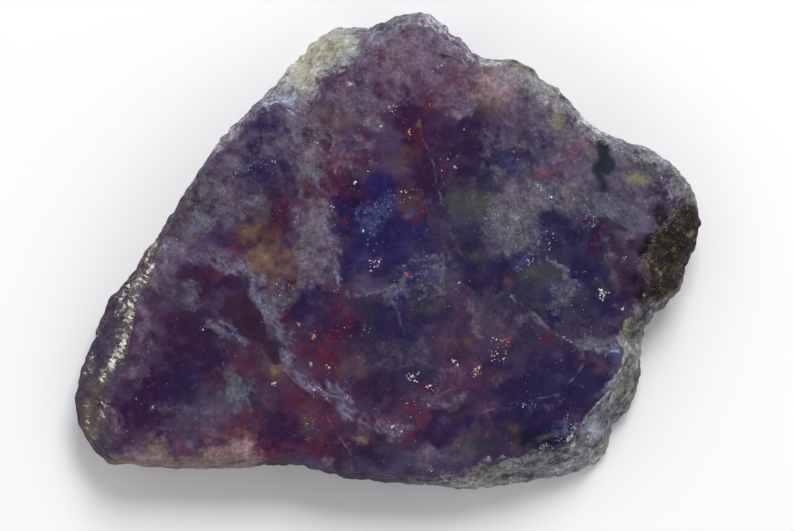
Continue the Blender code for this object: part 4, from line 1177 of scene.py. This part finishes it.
def layTones(tree, colour, clouding, graining, wisping, threading):
    # Lays each tone over the colour by its field, broken up by noise. A core is the bright middle of a
    # crack. The veil is the largest share of a pale tone, and dark tones clear it.
    veil = ground["veil"]
    for index, (name, (toneColour, covers, starts, full, broken, grainy)) in enumerate(tones.items()):
        rough = clouding[(index + 2) % 3]
        if name in wispyTones:
            rough = wisping
        elif name in threadedTones:
            rough = threading
        rough = timesPlus(tree, graining[index % 3], grainy, times(tree, rough, broken))
        here = field(tree, "crack" if name == "core" else name)
        moved = timesPlus(tree, rough, ramp(tree, here, 0.0, 0.35), here)
        share = ramp(tree, moved, starts, full, 0, covers)
        colour = blendColour(tree, share, colour, toneColour)
        if name in paleTones:
            veil = reckon(tree, "MAXIMUM", share, veil)
        elif name in darkTones:
            veil = times(tree, veil, reckon(tree, "SUBTRACT", 1.0, share))
    return colour, veil


def stoneColour(tree, places):
    # The stone's own colour: violet with fine mottling, then each tone of the table laid over it, a
    # faint network of seams and the dust of pale, blue, red and dark specks, all times a shade that
    # follows the noises, the crystals and the warm and cool clouds. Also gives the noises, for bump
    # and roughness.
    swirl = noise(tree, places, *ground["swirl"])
    cloud = noise(tree, places, *ground["cloud"])
    grain = noise(tree, places, *ground["grain"])
    wisps = noise(tree, millimetres(tree, *ground["wispsLie"]), *ground["wisps"])
    clouding = [evened(tree, part) for part in channels(tree, cloud["Color"])[:3]]
    graining = [evened(tree, part) for part in channels(tree, grain["Color"])[:3]]
    swirling = channels(tree, swirl["Color"])
    threading = ridges(tree, millimetres(tree, *ground["threadsLie"]), ground["threads"])
    lacing = ridges(tree, millimetres(tree, *ground["laceLie"]), ground["lace"])
    light = ramp(tree, swirling[0], *ground["lightFrom"])
    colour = blendColour(tree, light, ground["dark"], ground["light"])
    for part, (tint, starts, full) in zip(swirling[1:], ground["tints"]):
        colour = blendColour(tree, ramp(tree, part, starts, full, 0, ground["tinted"]), colour, tint)
    wisping = evened(tree, wisps["Fac"])
    colour, veil = layTones(tree, colour, clouding, graining, wisping, threading)

    moved = vectorSum(tree, places, cloud["Color"], ground["seamDrift"])
    inputs = {"Vector": moved, "Scale": ground["seams"]}
    network = newNode(tree, "ShaderNodeTexVoronoi", inputs, feature="DISTANCE_TO_EDGE")
    seam = ramp(tree, network.outputs["Distance"], ground["seamWidth"], 0.0)
    seam = times(tree, seam, ramp(tree, wisps["Fac"], *ground["seamInWisps"]))
    seam = times(tree, seam, ramp(tree, veil, *ground["seamInVeil"]))
    colour = blendColour(tree, seam, colour, ground["seamColour"])
    colour = sprinkle(tree, colour, "pale", timesPlus(tree, veil, *speckShares["pale"]))
    colour = sprinkle(tree, colour, "blue", times(tree, field(tree, "azure"), speckShares["blue"]))
    colour = sprinkle(tree, colour, "red", timesPlus(tree, field(tree, "rust"), *speckShares["red"]))
    colour = sprinkle(tree, colour, "dark", speckShares["dark"])

    depth = timesPlus(tree, graining[2], shading["grain"], 1.0)
    depth = timesPlus(tree, clouding[0], shading["cloud"], depth)
    depth = timesPlus(tree, evened(tree, swirl["Fac"]), shading["swirl"], depth)
    depth = timesPlus(tree, lacing, timesPlus(tree, veil, *shading["lace"]), depth)
    for perMillimetre, strength in shading["crystals"]:
        facet = reckon(tree, "SUBTRACT", crystals(tree, places, perMillimetre)[1], 0.5)
        depth = timesPlus(tree, facet, strength, depth)
    crumbs = reckon(tree, "SUBTRACT", crystals(tree, places, shading["crumbs"])[0], 0.5)
    sparkle = timesPlus(tree, graining[1], shading["crumbGrain"], crumbs)
    depth = timesPlus(tree, times(tree, veil, shading["sparkle"]), sparkle, depth)
    lean = reckon(tree, "SUBTRACT", field(tree, "warm"), field(tree, "cool"))
    tints = []
    for follow, lift, leaning in shading["channels"]:
        tint = timesPlus(tree, depth, follow, lift)
        tints.append(times(tree, tint, timesPlus(tree, lean, leaning, 1.0)))
    shade = newNode(tree, "ShaderNodeCombineColor", dict(enumerate(tints))).outputs[0]
    return blendColour(tree, 1.0, colour, shade, "MULTIPLY"), cloud, grain


# What the broken flank is crushed to: the colours of its dark, middle and bright grains and the most
# that it covers. The grit is ochre in patches, and two clouds tint all of it.
crushedLayers = {
    "pale": ((0.036, 0.028, 0.05), (0.184, 0.154, 0.218), (0.5, 0.475, 0.565), 0.88),
    "grit": ((0.042, 0.042, 0.048), (0.205, 0.207, 0.22), (0.54, 0.55, 0.56), 0.95),
    "bark": ((0.002, 0.001, 0.001), (0.008, 0.004, 0.004), (0.07, 0.042, 0.016), 0.93),
    "sugar": ((0.185, 0.185, 0.17), (0.345, 0.35, 0.328), (0.61, 0.615, 0.58), 0.96),
}
ochreGrit = ((0.05, 0.04, 0.025), (0.235, 0.215, 0.15), (0.56, 0.54, 0.43))
tintClouds = {"chill": (0.8, 0.93, 1.25), "tan": (1.12, 1.0, 0.7)}
# Its noises, the values at which dark grains turn middle and those bright, where the ochre lies, how
# strongly the values and a patchy noise bend a layer's border, and from where to where a layer shows.
crushing = {
    "streaks": (1.0, 5, 0.66, 1.0), "streaksLie": (1.5, 1.5, 0.45), "fine": (7.0, 2, 0.6),
    "patchy": (1.4, 4, 0.65), "mass": (0.45, 3, 0.55),
    "middle": (0.2, 0.48), "bright": (0.54, 0.82), "ochreShows": (0.52, 0.66, 0.0, 0.8),
    "grainBends": 1.4, "bends": (0.0, 0.35, 0.0, 0.22), "shows": (0.18, 0.6),
}


def crushed(tree, value, dark, middle, bright):
    colour = blendColour(tree, ramp(tree, value, *crushing["middle"]), dark, middle)
    return blendColour(tree, ramp(tree, value, *crushing["bright"]), colour, bright)


def flankColour(tree, places, colour):
    # Over the stone's colour, crushed grains of pale mauve, grey grit, rusty bark and cream sugar, then
    # ochre specks on the bark and the tinted clouds. Also gives the grains' heights and how much of
    # the stone they cover.
    streaks = noise(tree, millimetres(tree, crushing["streaksLie"]), *crushing["streaks"])
    fineGrain = noise(tree, places, *crushing["fine"])
    patchy = noise(tree, places, *crushing["patchy"])
    mass = noise(tree, places, *crushing["mass"])
    value = 0.0
    for part, share in (
        (crystals(tree, places, 1.3)[0], 0.2),
        (crystals(tree, places, 3.6)[1], 0.24),
        (ramp(tree, streaks["Fac"], 0.36, 0.64), 0.28),
        (ramp(tree, fineGrain["Fac"], 0.3, 0.7), 0.14),
        (ramp(tree, mass["Fac"], 0.38, 0.62), 0.16),
        # the shade clouds darken the grains: painted shade
        (field(tree, "shade"), -0.2),
    ):
        value = timesPlus(tree, part, share, value)
    patching = channels(tree, patchy["Color"])
    cover = 0.0
    for index, (name, (dark, middle, bright, covers)) in enumerate(crushedLayers.items()):
        over = crushed(tree, value, dark, middle, bright)
        if name == "grit":
            ochre = ramp(tree, patching[2], *crushing["ochreShows"])
            over = blendColour(tree, ochre, over, crushed(tree, value, *ochreGrit))
        rough = evened(tree, patching[index % 3])
        rough = timesPlus(tree, reckon(tree, "SUBTRACT", value, 0.5), crushing["grainBends"], rough)
        here = field(tree, name)
        moved = timesPlus(tree, rough, ramp(tree, here, *crushing["bends"]), here)
        share = ramp(tree, moved, *crushing["shows"], 0, covers)
        colour = blendColour(tree, share, colour, over)
        cover = reckon(tree, "MAXIMUM", share, cover)
    colour = sprinkle(tree, colour, "ochre", times(tree, field(tree, "bark"), speckShares["ochre"]))
    for name, tint in tintClouds.items():
        share = times(tree, field(tree, name), cover)
        colour = blendColour(tree, share, colour, tint, "MULTIPLY")
    return colour, value, cover


def newMaterial(name):
    material = bpy.data.materials.new(name)
    material.use_nodes = True
    material.node_tree.nodes.clear()
    return material, material.node_tree


def finishStone(tree, colour, roughness, height, relief, gloss=0.5):
    # The shader itself, with the height as bump of so many millimetres.
    inputs = {"Height": height, "Strength": 1.0, "Distance": relief * millimetre}
    bump = newNode(tree, "ShaderNodeBump", inputs)
    shader = newNode(tree, "ShaderNodeBsdfPrincipled", {
        "Base Color": colour, "Roughness": roughness, "Normal": bump.outputs[0], "IOR": 1.54,
        "Specular IOR Level": gloss,
    })
    newNode(tree, "ShaderNodeOutputMaterial", {"Surface": shader.outputs[0]})


# The three finishes: roughness from and to, relief of the bump in millimetres, and colours. On the
# broken one, flakes and flecks break up the cream streaks, inside a fainter halo.
finishes = {
    "polished": (0.13, 0.25), "polishedRelief": 0.035,
    "coverDulls": 0.35, "crustShines": 0.2,  # roughness that full grains add and full crust takes
    "scratches": 2.2, "scratchesLie": ((1.0, 14.0, 1.0), 35),
    "broken": (0.4, 0.75), "brokenRelief": 0.16, "brokenGloss": 0.18,
    "flakes": 2.6, "flakesLie": ((0.6, 1.5, 1.0), -62), "flakesBreak": 0.9, "flecksBreak": 0.35,
    "creamFrom": (0.76, 1.08), "creamCovers": 0.92, "creamShines": 0.18, "creamRises": 0.6,
    "haloFrom": (0.15, 0.95), "haloCovers": 0.55, "grainsRise": 1.2,
    "creamHalo": (0.19, 0.17, 0.13), "creamDark": (0.22, 0.205, 0.15), "creamBright": (0.9, 0.88, 0.78),
    "sawn": (0.6, 0.85), "sawnRelief": 0.04,
    "sawnDark": (0.085, 0.07, 0.11), "sawnLight": (0.21, 0.195, 0.235), "sawMark": (0.3, 0.28, 0.32),
    "sawCentre": (-90, -40, 0), "sawMarks": 0.35,
}


def polishedStone():
    # The polished face: the stone's colour under a soft gloss, duller where the grains cover it but
    # not where they are crust. The bump is cloud + grain / 2 + 0.3 * scratches + 4 * covering grains.
    material, tree = newMaterial("polished_violet_stone")
    places = millimetres(tree)
    colour, cloud, grain = stoneColour(tree, places)
    colour, grains, cover = flankColour(tree, places, colour)
    crust = ramp(tree, reckon(tree, "MAXIMUM", field(tree, "stain"), field(tree, "bark")), 0.1, 0.6)
    dull = timesPlus(tree, crust, -finishes["crustShines"], times(tree, cover, finishes["coverDulls"]))
    dull = reckon(tree, "MAXIMUM", dull, 0.0)
    roughness = ramp(tree, grain["Fac"], 0.3, 0.7, *finishes["polished"])
    roughness = reckon(tree, "ADD", roughness, dull)
    scratch = noise(tree, millimetres(tree, *finishes["scratchesLie"]), finishes["scratches"], detail=3)
    height = timesPlus(tree, grain["Fac"], 0.5, times(tree, scratch["Fac"], 0.3))
    height = reckon(tree, "ADD", height, cloud["Fac"])
    height = timesPlus(tree, times(tree, grains, cover), 4.0, height)
    finishStone(tree, colour, roughness, height, finishes["polishedRelief"])
    return material


def brokenStone():
    # The flank: crushed grains over the stone's colour, and on the ground bevel the flakes of cream
    # crystal, which lie along its streaks in small broken patches.
    material, tree = newMaterial("broken_granular_stone")
    places = millimetres(tree)
    colour, _, grain = stoneColour(tree, places)
    colour, grains, _ = flankColour(tree, places, colour)
    flakes = crystals(tree, millimetres(tree, *finishes["flakesLie"]), finishes["flakes"])
    fleck = noise(tree, places, 4.5, detail=3, roughness=0.65)
    broken = reckon(tree, "SUBTRACT", flakes[0], 0.5)
    moved = timesPlus(tree, broken, finishes["flakesBreak"], field(tree, "cream"))
    moved = timesPlus(tree, evened(tree, fleck["Fac"]), finishes["flecksBreak"], moved)
    cream = ramp(tree, moved, *finishes["creamFrom"])
    halo = times(tree, ramp(tree, moved, *finishes["haloFrom"]), finishes["haloCovers"])
    colour = blendColour(tree, halo, colour, finishes["creamHalo"])
    creamColour = blendColour(tree, flakes[1], finishes["creamDark"], finishes["creamBright"])
    colour = blendColour(tree, times(tree, cream, finishes["creamCovers"]), colour, creamColour)
    roughness = ramp(tree, grains, 0.2, 0.8, *finishes["broken"])
    roughness = timesPlus(tree, cream, -finishes["creamShines"], roughness)
    height = timesPlus(tree, grains, finishes["grainsRise"], grain["Fac"])
    height = timesPlus(tree, cream, finishes["creamRises"], height)
    finishStone(tree, colour, roughness, height, finishes["brokenRelief"], finishes["brokenGloss"])
    return material


def sawnStone():
    # The underside: matt, dusty and paler than the polished face, with the saw's curved marks, which
    # are rings about a far centre.
    material, tree = newMaterial("sawn_stone")
    cloud = noise(tree, millimetres(tree), 0.7, detail=5, roughness=0.65)
    mottle = ramp(tree, cloud["Fac"], 0.35, 0.65)
    colour = blendColour(tree, mottle, finishes["sawnDark"], finishes["sawnLight"])
    marks = newNode(tree, "ShaderNodeTexWave", {
        "Vector": millimetres(tree, away=finishes["sawCentre"]), "Scale": finishes["sawMarks"],
        "Distortion": 0.6, "Detail": 2.0,
    }, wave_type="RINGS", rings_direction="Z")
    marked = ramp(tree, marks.outputs["Fac"], 0.5, 1.0, 0, 0.25)
    colour = blendColour(tree, marked, colour, finishes["sawMark"])
    roughness = ramp(tree, cloud["Fac"], 0.3, 0.7, *finishes["sawn"])
    finishStone(tree, colour, roughness, marks.outputs["Fac"], finishes["sawnRelief"])
    return material


def stone():
    materials = [polishedStone(), brokenStone(), sawnStone()]
    piece = makeMesh("stone_slab", vertices, quads.tolist() + triangles.tolist(), materials, kinds)
    mesh = piece.data
    for name, values in stoneFields(vertices).items():
        addField(mesh, name, values)
    bakeUv = bakeMap(vertices, quads, triangles, kinds, rings)
    mesh.uv_layers.new(name="OFBake").data.foreach_set("uv", bakeUv.astype(np.float32).ravel())
    mesh.set_sharp_from_angle(angle=math.radians(slab["sharpAngle"]))
    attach(piece, "root")
    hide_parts("slab")
    return piece


stoneSlab = stone()
print("stone made:", len(stoneSlab.data.polygons), "faces")

# Platelets in the polished face. Their bright tints are painted glints, colour in place of the light that
# they flash, over the copper, red and gold of the platelets themselves. Each cluster is x, y, its radius,
# how many platelets, how large they are and their tint.
platelets = {
    "lift": 0.012,       # of a platelet's top over the face
    "bevel": 0.006,      # from its top down to its rim
    "depth": 0.03,
    "sides": 6,
    "lean": 6,           # degrees
    "strays": 170,
    "straySize": 0.055,
    "strayReach": 0.97,  # share of the way out to the polished edge
    "strayTints": ["dim", "dim", "dim", "dim", "dim", "dim", "pink", "blue", "white"],
    "onFace": 0.995,     # those further out than this share are left away
    "seed": 19,
    "tints": {
        "white": (0.93, 0.89, 0.91), "pink": (0.95, 0.62, 0.7), "gold": (0.9, 0.68, 0.3),
        "copper": (0.85, 0.22, 0.08), "red": (0.5, 0.03, 0.06), "blue": (0.16, 0.28, 0.7),
        "cyan": (0.55, 0.85, 0.95), "dim": (0.21, 0.19, 0.28),
    },
    "clusters": [
        (21.6, -4.1, 0.4, 10, 0.2, "white"), (21.5, -4.9, 0.25, 6, 0.17, "white"),
        (21.9, -4.4, 0.4, 5, 0.14, "pink"), (21.3, -4.5, 0.45, 5, 0.13, "cyan"),
        (23.7, -5.9, 0.2, 4, 0.16, "pink"), (6.6, -11, 0.28, 6, 0.19, "white"),
        (7, -11.4, 0.15, 3, 0.15, "pink"), (2.5, -12.9, 0.35, 8, 0.17, "white"),
        (3.1, -12.4, 0.2, 4, 0.18, "white"), (3, -13.1, 0.12, 2, 0.16, "white"),
        (8.9, -12.2, 0.4, 9, 0.12, "gold"), (9, -11.7, 0.3, 4, 0.14, "pink"),
        (10.8, -10.6, 0.6, 9, 0.13, "gold"), (11.6, -11, 0.4, 5, 0.12, "cyan"),
        (10.6, -8.9, 0.4, 4, 0.12, "white"), (11.6, -8.9, 0.3, 3, 0.13, "gold"),
        (12.3, -9, 0.4, 5, 0.12, "copper"), (0.65, -17.7, 0.2, 4, 0.16, "white"),
        (1.35, -18.15, 0.15, 3, 0.14, "white"), (0.9, -17.3, 0.3, 3, 0.08, "blue"),
        (-7.75, -11.45, 0.25, 5, 0.18, "gold"), (-5.9, -11.6, 0.2, 4, 0.15, "white"),
        (-8.85, -7.4, 0.2, 4, 0.14, "gold"), (-7.3, -8.7, 0.22, 6, 0.16, "copper"),
        (-7.25, -8.6, 0.1, 2, 0.14, "gold"), (-11.3, -13.4, 0.22, 6, 0.16, "white"),
        (-11.1, -13.2, 0.15, 3, 0.12, "gold"), (-4.2, -7.7, 0.14, 3, 0.13, "white"),
        (-1.1, -1.3, 0.5, 9, 0.12, "pink"), (-1.7, -2, 0.15, 2, 0.12, "white"),
        (1.9, -2.5, 0.16, 4, 0.18, "red"), (3.8, -2.3, 0.3, 6, 0.12, "blue"),
        (2.3, 12, 0.3, 6, 0.15, "copper"), (2.2, 11.6, 0.2, 4, 0.12, "gold"),
        (0.5, 14.2, 0.5, 9, 0.12, "pink"), (-3.75, 16.6, 0.22, 6, 0.17, "pink"),
        (6.8, 8.2, 0.14, 3, 0.14, "gold"), (6.1, 9.1, 0.15, 3, 0.13, "cyan"),
        (15.1, 6.5, 0.12, 3, 0.15, "white"), (15.4, 6.2, 0.25, 5, 0.14, "pink"),
        (-3.2, 6.7, 0.14, 4, 0.17, "cyan"), (2.2, 5.7, 0.5, 8, 0.1, "gold"),
        (1.5, 5.8, 0.12, 2, 0.12, "white"), (-2.35, 1.9, 0.1, 2, 0.13, "cyan"),
        (-0.8, 4.1, 0.7, 6, 0.09, "blue"), (-1.3, 2.4, 0.6, 5, 0.08, "blue"),
        (-7.1, 10.7, 0.2, 4, 0.14, "pink"), (-6.6, 10.1, 0.2, 3, 0.11, "copper"),
        (-7.6, 12.4, 0.25, 5, 0.12, "copper"), (-5.4, 12.8, 0.3, 4, 0.1, "copper"),
        (5.45, 18.5, 0.12, 3, 0.12, "pink"), (7.75, 12.1, 0.1, 2, 0.11, "cyan"),
        (-1.9, 7.85, 0.08, 2, 0.1, "white"), (-5.15, 7.8, 0.14, 3, 0.13, "gold"),
        (-5.6, 4.1, 0.35, 7, 0.12, "dim"), (-5.4, 4.2, 0.25, 4, 0.1, "white"),
        (9.95, 17, 0.14, 3, 0.15, "copper"), (11.1, 5.5, 0.2, 3, 0.14, "copper"),
        (18.8, 12.7, 0.2, 4, 0.12, "red"), (18.6, -17.6, 0.3, 5, 0.13, "white"),
        (15.9, -19.6, 0.25, 5, 0.12, "white"), (17.4, -19.4, 0.5, 8, 0.07, "white"),
        (22.9, -10.1, 0.35, 5, 0.13, "cyan"), (13.7, -15.5, 0.25, 5, 0.1, "cyan"),
        (16.5, -3.9, 0.25, 6, 0.12, "blue"), (4.25, -13.7, 0.3, 6, 0.12, "pink"),
        (4.9, -14, 0.3, 4, 0.1, "copper"), (2, -15.3, 0.15, 2, 0.11, "pink"),
        (2.8, -15.3, 0.2, 2, 0.1, "copper"), (4.2, -15.55, 0.15, 3, 0.12, "pink"),
        (-7.4, -14, 0.15, 3, 0.12, "white"), (-3.9, -14.7, 0.3, 5, 0.1, "pink"),
        (-1.9, -8.1, 0.35, 7, 0.1, "blue"), (4.4, -22, 0.25, 5, 0.12, "gold"),
        (20.4, -8.1, 0.1, 2, 0.1, "pink"), (19.3, -3.6, 0.1, 2, 0.1, "white"),
        (23.7, -0.7, 0.2, 3, 0.12, "pink"), (21.8, -0.7, 0.3, 4, 0.12, "dim"),
        (-11, -3.4, 0.12, 2, 0.12, "white"), (-10.4, 5, 0.2, 3, 0.12, "red"),
        (-23.4, -15.7, 0.12, 3, 0.12, "cyan"), (-25.1, -14.9, 0.08, 2, 0.09, "white"),
        (-18.4, -7.8, 0.25, 3, 0.1, "white"), (20.6, 2.6, 0.3, 5, 0.12, "dim"),
        (16.2, 5.3, 0.3, 5, 0.11, "white"), (15.2, 2.6, 0.7, 12, 0.1, "dim"),
        (11.6, 1.6, 0.5, 8, 0.1, "dim"), (14.4, -1.2, 0.5, 8, 0.1, "cyan"),
        (17.7, -7.1, 0.15, 2, 0.1, "cyan"), (7.2, -3.3, 0.15, 3, 0.1, "pink"),
        (8.25, -3.1, 0.07, 2, 0.09, "white"), (-14.1, 8.2, 0.7, 10, 0.09, "blue"),
        (-11.3, 8.8, 0.2, 3, 0.12, "cyan"), (-14.9, 7.8, 0.3, 4, 0.08, "white"),
        (-10.9, -4.4, 0.4, 5, 0.1, "copper"), (-4.6, 11.1, 0.08, 2, 0.09, "white"),
        (-0.6, 12.4, 0.08, 2, 0.09, "white"), (27.4, 7.2, 0.15, 3, 0.12, "white"),
        (29, -2.7, 0.3, 6, 0.13, "white"), (13.9, -12.8, 0.6, 5, 0.08, "red"),
        (-5.2, -4.2, 0.4, 5, 0.09, "pink"), (11, -10.2, 1.2, 18, 0.07, "pink"),
        (9.2, -12.2, 0.9, 16, 0.07, "gold"), (2.6, -15.4, 1.4, 14, 0.06, "pink"),
        (4.6, -13.8, 0.9, 12, 0.06, "copper"), (-6.4, -9.4, 1.6, 12, 0.06, "red"),
        (12.2, -9.2, 0.7, 10, 0.07, "copper"), (0.6, 14, 0.9, 12, 0.06, "copper"),
        (-1.1, -1.4, 0.8, 12, 0.06, "white"), (-7.6, 11.4, 1.2, 12, 0.06, "pink"),
        (-12.2, 5.4, 2.4, 12, 0.05, "dim"), (15.4, -12, 2.6, 22, 0.05, "dim"),
        (12.4, 3, 2, 22, 0.05, "white"), (25, 9, 2.4, 20, 0.06, "white"), (19, -4, 2.2, 20, 0.05, "cyan"),
        (-0.6, 3.2, 1.6, 10, 0.05, "blue"), (-7.3, -8.6, 0.5, 10, 0.07, "copper"),
        (-8.2, -17.4, 0.9, 14, 0.07, "gold"), (-6.6, -18.8, 0.9, 14, 0.06, "red"),
        (-8, -18.8, 0.6, 8, 0.06, "copper"), (-11.2, -17.8, 1.6, 14, 0.05, "dim"),
        (2.6, -16.6, 1.2, 14, 0.06, "red"), (-5.6, -11.9, 0.8, 10, 0.06, "pink"),
        (2.4, -12.7, 0.5, 8, 0.08, "pink"), (-7, -14.3, 0.7, 9, 0.06, "white"),
        (16.2, 1, 1, 16, 0.06, "white"), (13.8, 4.4, 1, 14, 0.06, "gold"),
        (20.2, 2.8, 0.8, 12, 0.06, "white"), (7.2, -8.6, 1.6, 14, 0.05, "dim"),
        (-12.6, 8.4, 1.4, 16, 0.05, "white"), (9.8, 1.9, 1.2, 14, 0.05, "cyan"),
        (2.2, 5.4, 0.9, 12, 0.05, "gold"), (-10.6, -3.6, 1, 10, 0.06, "gold"),
        (0.9, -17.6, 0.9, 12, 0.06, "white"),
    ],
}


def plateletMesh():
    # Flat plates pointed above and below: a ring of sides and two poles each, laid out round their
    # middles as whole arrays. A cluster's plates lie at its radius * sqrt(chance), and each is tipped a
    # few degrees and set at the height of the polished face there.
    draw = np.random.default_rng(platelets["seed"])
    middles, sizes, tints = [], [], []
    for x, y, radius, count, size, tint in platelets["clusters"]:
        away = radius * np.sqrt(draw.random(count))
        bearing = math.tau * draw.random(count)
        middles.append(np.stack([x + away * np.cos(bearing), y + away * np.sin(bearing)], -1))
        sizes.append(size * (0.45 + 0.85 * draw.random(count) ** 2))
        tints.append(np.tile(platelets["tints"][tint], (count, 1)))
    bearing = math.tau * draw.random(platelets["strays"]) - math.pi
    share = platelets["strayReach"] * np.sqrt(draw.random(platelets["strays"]))
    reach = share * outlineRadius(polishedEdge, bearing)
    middles.append(np.stack([reach * np.cos(bearing), reach * np.sin(bearing)], -1))
    sizes.append(platelets["straySize"] * draw.uniform(0.45, 1.3, platelets["strays"]))
    names = platelets["strayTints"]
    picks = [names[pick] for pick in draw.integers(0, len(names), platelets["strays"])]
    tints.append(np.array([platelets["tints"][pick] for pick in picks]))
    middles, sizes, tints = np.concatenate(middles), np.concatenate(sizes), np.concatenate(tints)
    # Each platelet's painted glint is brighter or dimmer at random.
    tints = tints * (0.45 + 0.6 * draw.random((len(tints), 1)) ** 1.5)
    bearing = np.arctan2(middles[:, 1], middles[:, 0])
    share = np.hypot(middles[:, 0], middles[:, 1]) / edgeRadii(bearing)[0]
    onFace = share < platelets["onFace"]
    middles, sizes, tints = middles[onFace], sizes[onFace], tints[onFace]
    number, sides = len(middles), platelets["sides"]
    turn = math.tau * (np.arange(sides) / sides + draw.random((number, 1)))
    reach = sizes[:, None] * draw.uniform(0.4, 1.1, (number, sides))
    lean = np.radians(platelets["lean"]) * draw.uniform(-1, 1, (number, 2))
    ring = np.stack([reach * np.cos(turn), reach * np.sin(turn)], -1)
    tilt = (ring * lean[:, None, :]).sum(-1)
    level = polishedFace(share[onFace], bearing[onFace])[:, 2, None] + platelets["lift"]
    ring = np.concatenate([middles[:, None, :] + ring, (level - platelets["bevel"] + tilt)[..., None]], -1)
    high = np.concatenate([middles, level], -1)[:, None]
    low = np.concatenate([middles, level - platelets["depth"]], -1)[:, None]
    points = np.concatenate([ring, high, low], 1)
    first = np.arange(number)[:, None] * (sides + 2)
    here, after = np.arange(sides), np.roll(np.arange(sides), -1)
    upper = np.stack([first + here, first + after, first + sides + 0 * here], -1)
    lower = np.stack([first + after, first + here, first + sides + 1 + 0 * here], -1)
    faces = np.concatenate([upper, lower], 1).reshape(-1, 3)
    return points.reshape(-1, 3), faces, np.repeat(tints, sides + 2, 0)


def plateletPaintedGlints():
    # Their own tint, bright as a painted glint, dimmed in places by a slow noise, with a bright even
    # gloss.
    material, tree = newMaterial("platelet_painted_glints")
    tint = newNode(tree, "ShaderNodeAttribute", {}, attribute_name="tint").outputs["Color"]
    flicker = noise(tree, millimetres(tree), 3.0, detail=2)
    dimmed = ramp(tree, flicker["Fac"], 0.35, 0.65, 0.0, 0.45)
    colour = blendColour(tree, dimmed, tint, (0.1, 0.08, 0.14))
    roughness = ramp(tree, flicker["Fac"], 0.3, 0.7, 0.15, 0.35)
    finishStone(tree, colour, roughness, flicker["Fac"], 0.004)
    return material


def plateletPiece():
    points, faces, tints = plateletMesh()
    piece = makeMesh("sunstone_platelets", points, faces.tolist(), [plateletPaintedGlints()])
    colours = piece.data.color_attributes.new("tint", "FLOAT_COLOR", "POINT")
    opaque = np.concatenate([tints, np.ones((len(tints), 1))], 1)
    colours.data.foreach_set("color", opaque.astype(np.float32).ravel())
    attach(piece, "root")
    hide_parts("slab")
    return piece


plateletGlints = plateletPiece()
print("platelets made:", len(plateletGlints.data.polygons), "faces")

studio = {
    "floorSize": 3000, "floorCells": 40, "floorDip": 40,
    "floorTone": (0.87, 0.865, 0.875), "floorShade": (0.84, 0.84, 0.85),
    "keyPlace": (160, 620, 640), "keySize": 420, "keyPower": 6.5,
    "domeTone": (0.985, 0.985, 1.0), "horizon": 1.12, "zenith": 0.05,
    "lens": 250, "sensor": 36, "pixelsPerMillimetre": 10.0, "pictureWidth": 794,
    "pictureMiddle": (1.0, -1.55),
}


def floorPiece():
    # A broad pale floor with a faint unevenness in its colour. It is level to 0.6 of the way out and
    # then sinks by floorDip * (share of the way - 0.6)^2.
    half = studio["floorSize"] / 2
    steps = np.linspace(-half, half, studio["floorCells"] + 1)
    x, y = np.meshgrid(steps, steps, indexing="ij")
    z = -studio["floorDip"] * np.clip(np.hypot(x, y) / half - 0.6, 0, None) ** 2
    points = np.stack([x.ravel(), y.ravel(), z.ravel()], -1) - shift
    material, tree = newMaterial("pale_floor")
    mottle = noise(tree, millimetres(tree), 0.02, detail=3)
    shaded = ramp(tree, mottle["Fac"], 0.3, 0.7, 0, 0.3)
    colour = blendColour(tree, shaded, studio["floorTone"], studio["floorShade"])
    roughness = ramp(tree, mottle["Fac"], 0.3, 0.7, 0.7, 0.8)
    finishStone(tree, colour, roughness, mottle["Fac"], 0.01)
    piece = makeMesh("floor", points, gridQuads(studio["floorCells"]).tolist(), [material])


def softLight():
    # One broad lamp above the slab's peak, and a dome that is bright at the horizon and dim overhead, so
    # that the polished face has little to mirror from above.
    lamp = bpy.data.lights.new("key", "AREA")
    lamp.size = studio["keySize"] * millimetre
    lamp.energy = studio["keyPower"]
    key = bpy.data.objects.new("key", lamp)
    place = np.array(studio["keyPlace"]) * millimetre
    key.location = place
    key.rotation_euler = (math.acos(place[2] / np.linalg.norm(place)), 0, math.atan2(place[0], -place[1]))
    bpy.context.scene.collection.objects.link(key)
    world = bpy.data.worlds.new("studio")
    world.use_nodes = True
    tree = world.node_tree
    tree.nodes.clear()
    way = newNode(tree, "ShaderNodeTexCoord", {}).outputs["Generated"]
    height = newNode(tree, "ShaderNodeSeparateXYZ", {"Vector": way}).outputs["Z"]
    glow = ramp(tree, height, 0.5, 0.97, studio["horizon"], studio["zenith"])
    inputs = {"Color": (*studio["domeTone"], 1), "Strength": glow}
    background = newNode(tree, "ShaderNodeBackground", inputs)
    newNode(tree, "ShaderNodeOutputWorld", {"Surface": background.outputs[0]})
    bpy.context.scene.world = world


def lookDown():
    # Straight down on the polished face, as far off as makes its millimetres ten pixels each.
    lens = bpy.data.cameras.new("camera")
    lens.lens, lens.sensor_width = studio["lens"], studio["sensor"]
    lens.clip_start, lens.clip_end = 0.01, 20
    camera = bpy.data.objects.new("camera", lens)
    across = studio["pictureWidth"] / studio["pixelsPerMillimetre"]
    distance = across * studio["lens"] / studio["sensor"]
    x, y = studio["pictureMiddle"]
    camera.location = np.array([x + shift[0], y + shift[1], slab["thickness"] + distance]) * millimetre
    bpy.context.scene.collection.objects.link(camera)
    bpy.context.scene.camera = camera


floorPiece()
softLight()
lookDown()
bpy.context.scene.view_settings.view_transform = "Standard"
print("floor, light and camera placed")
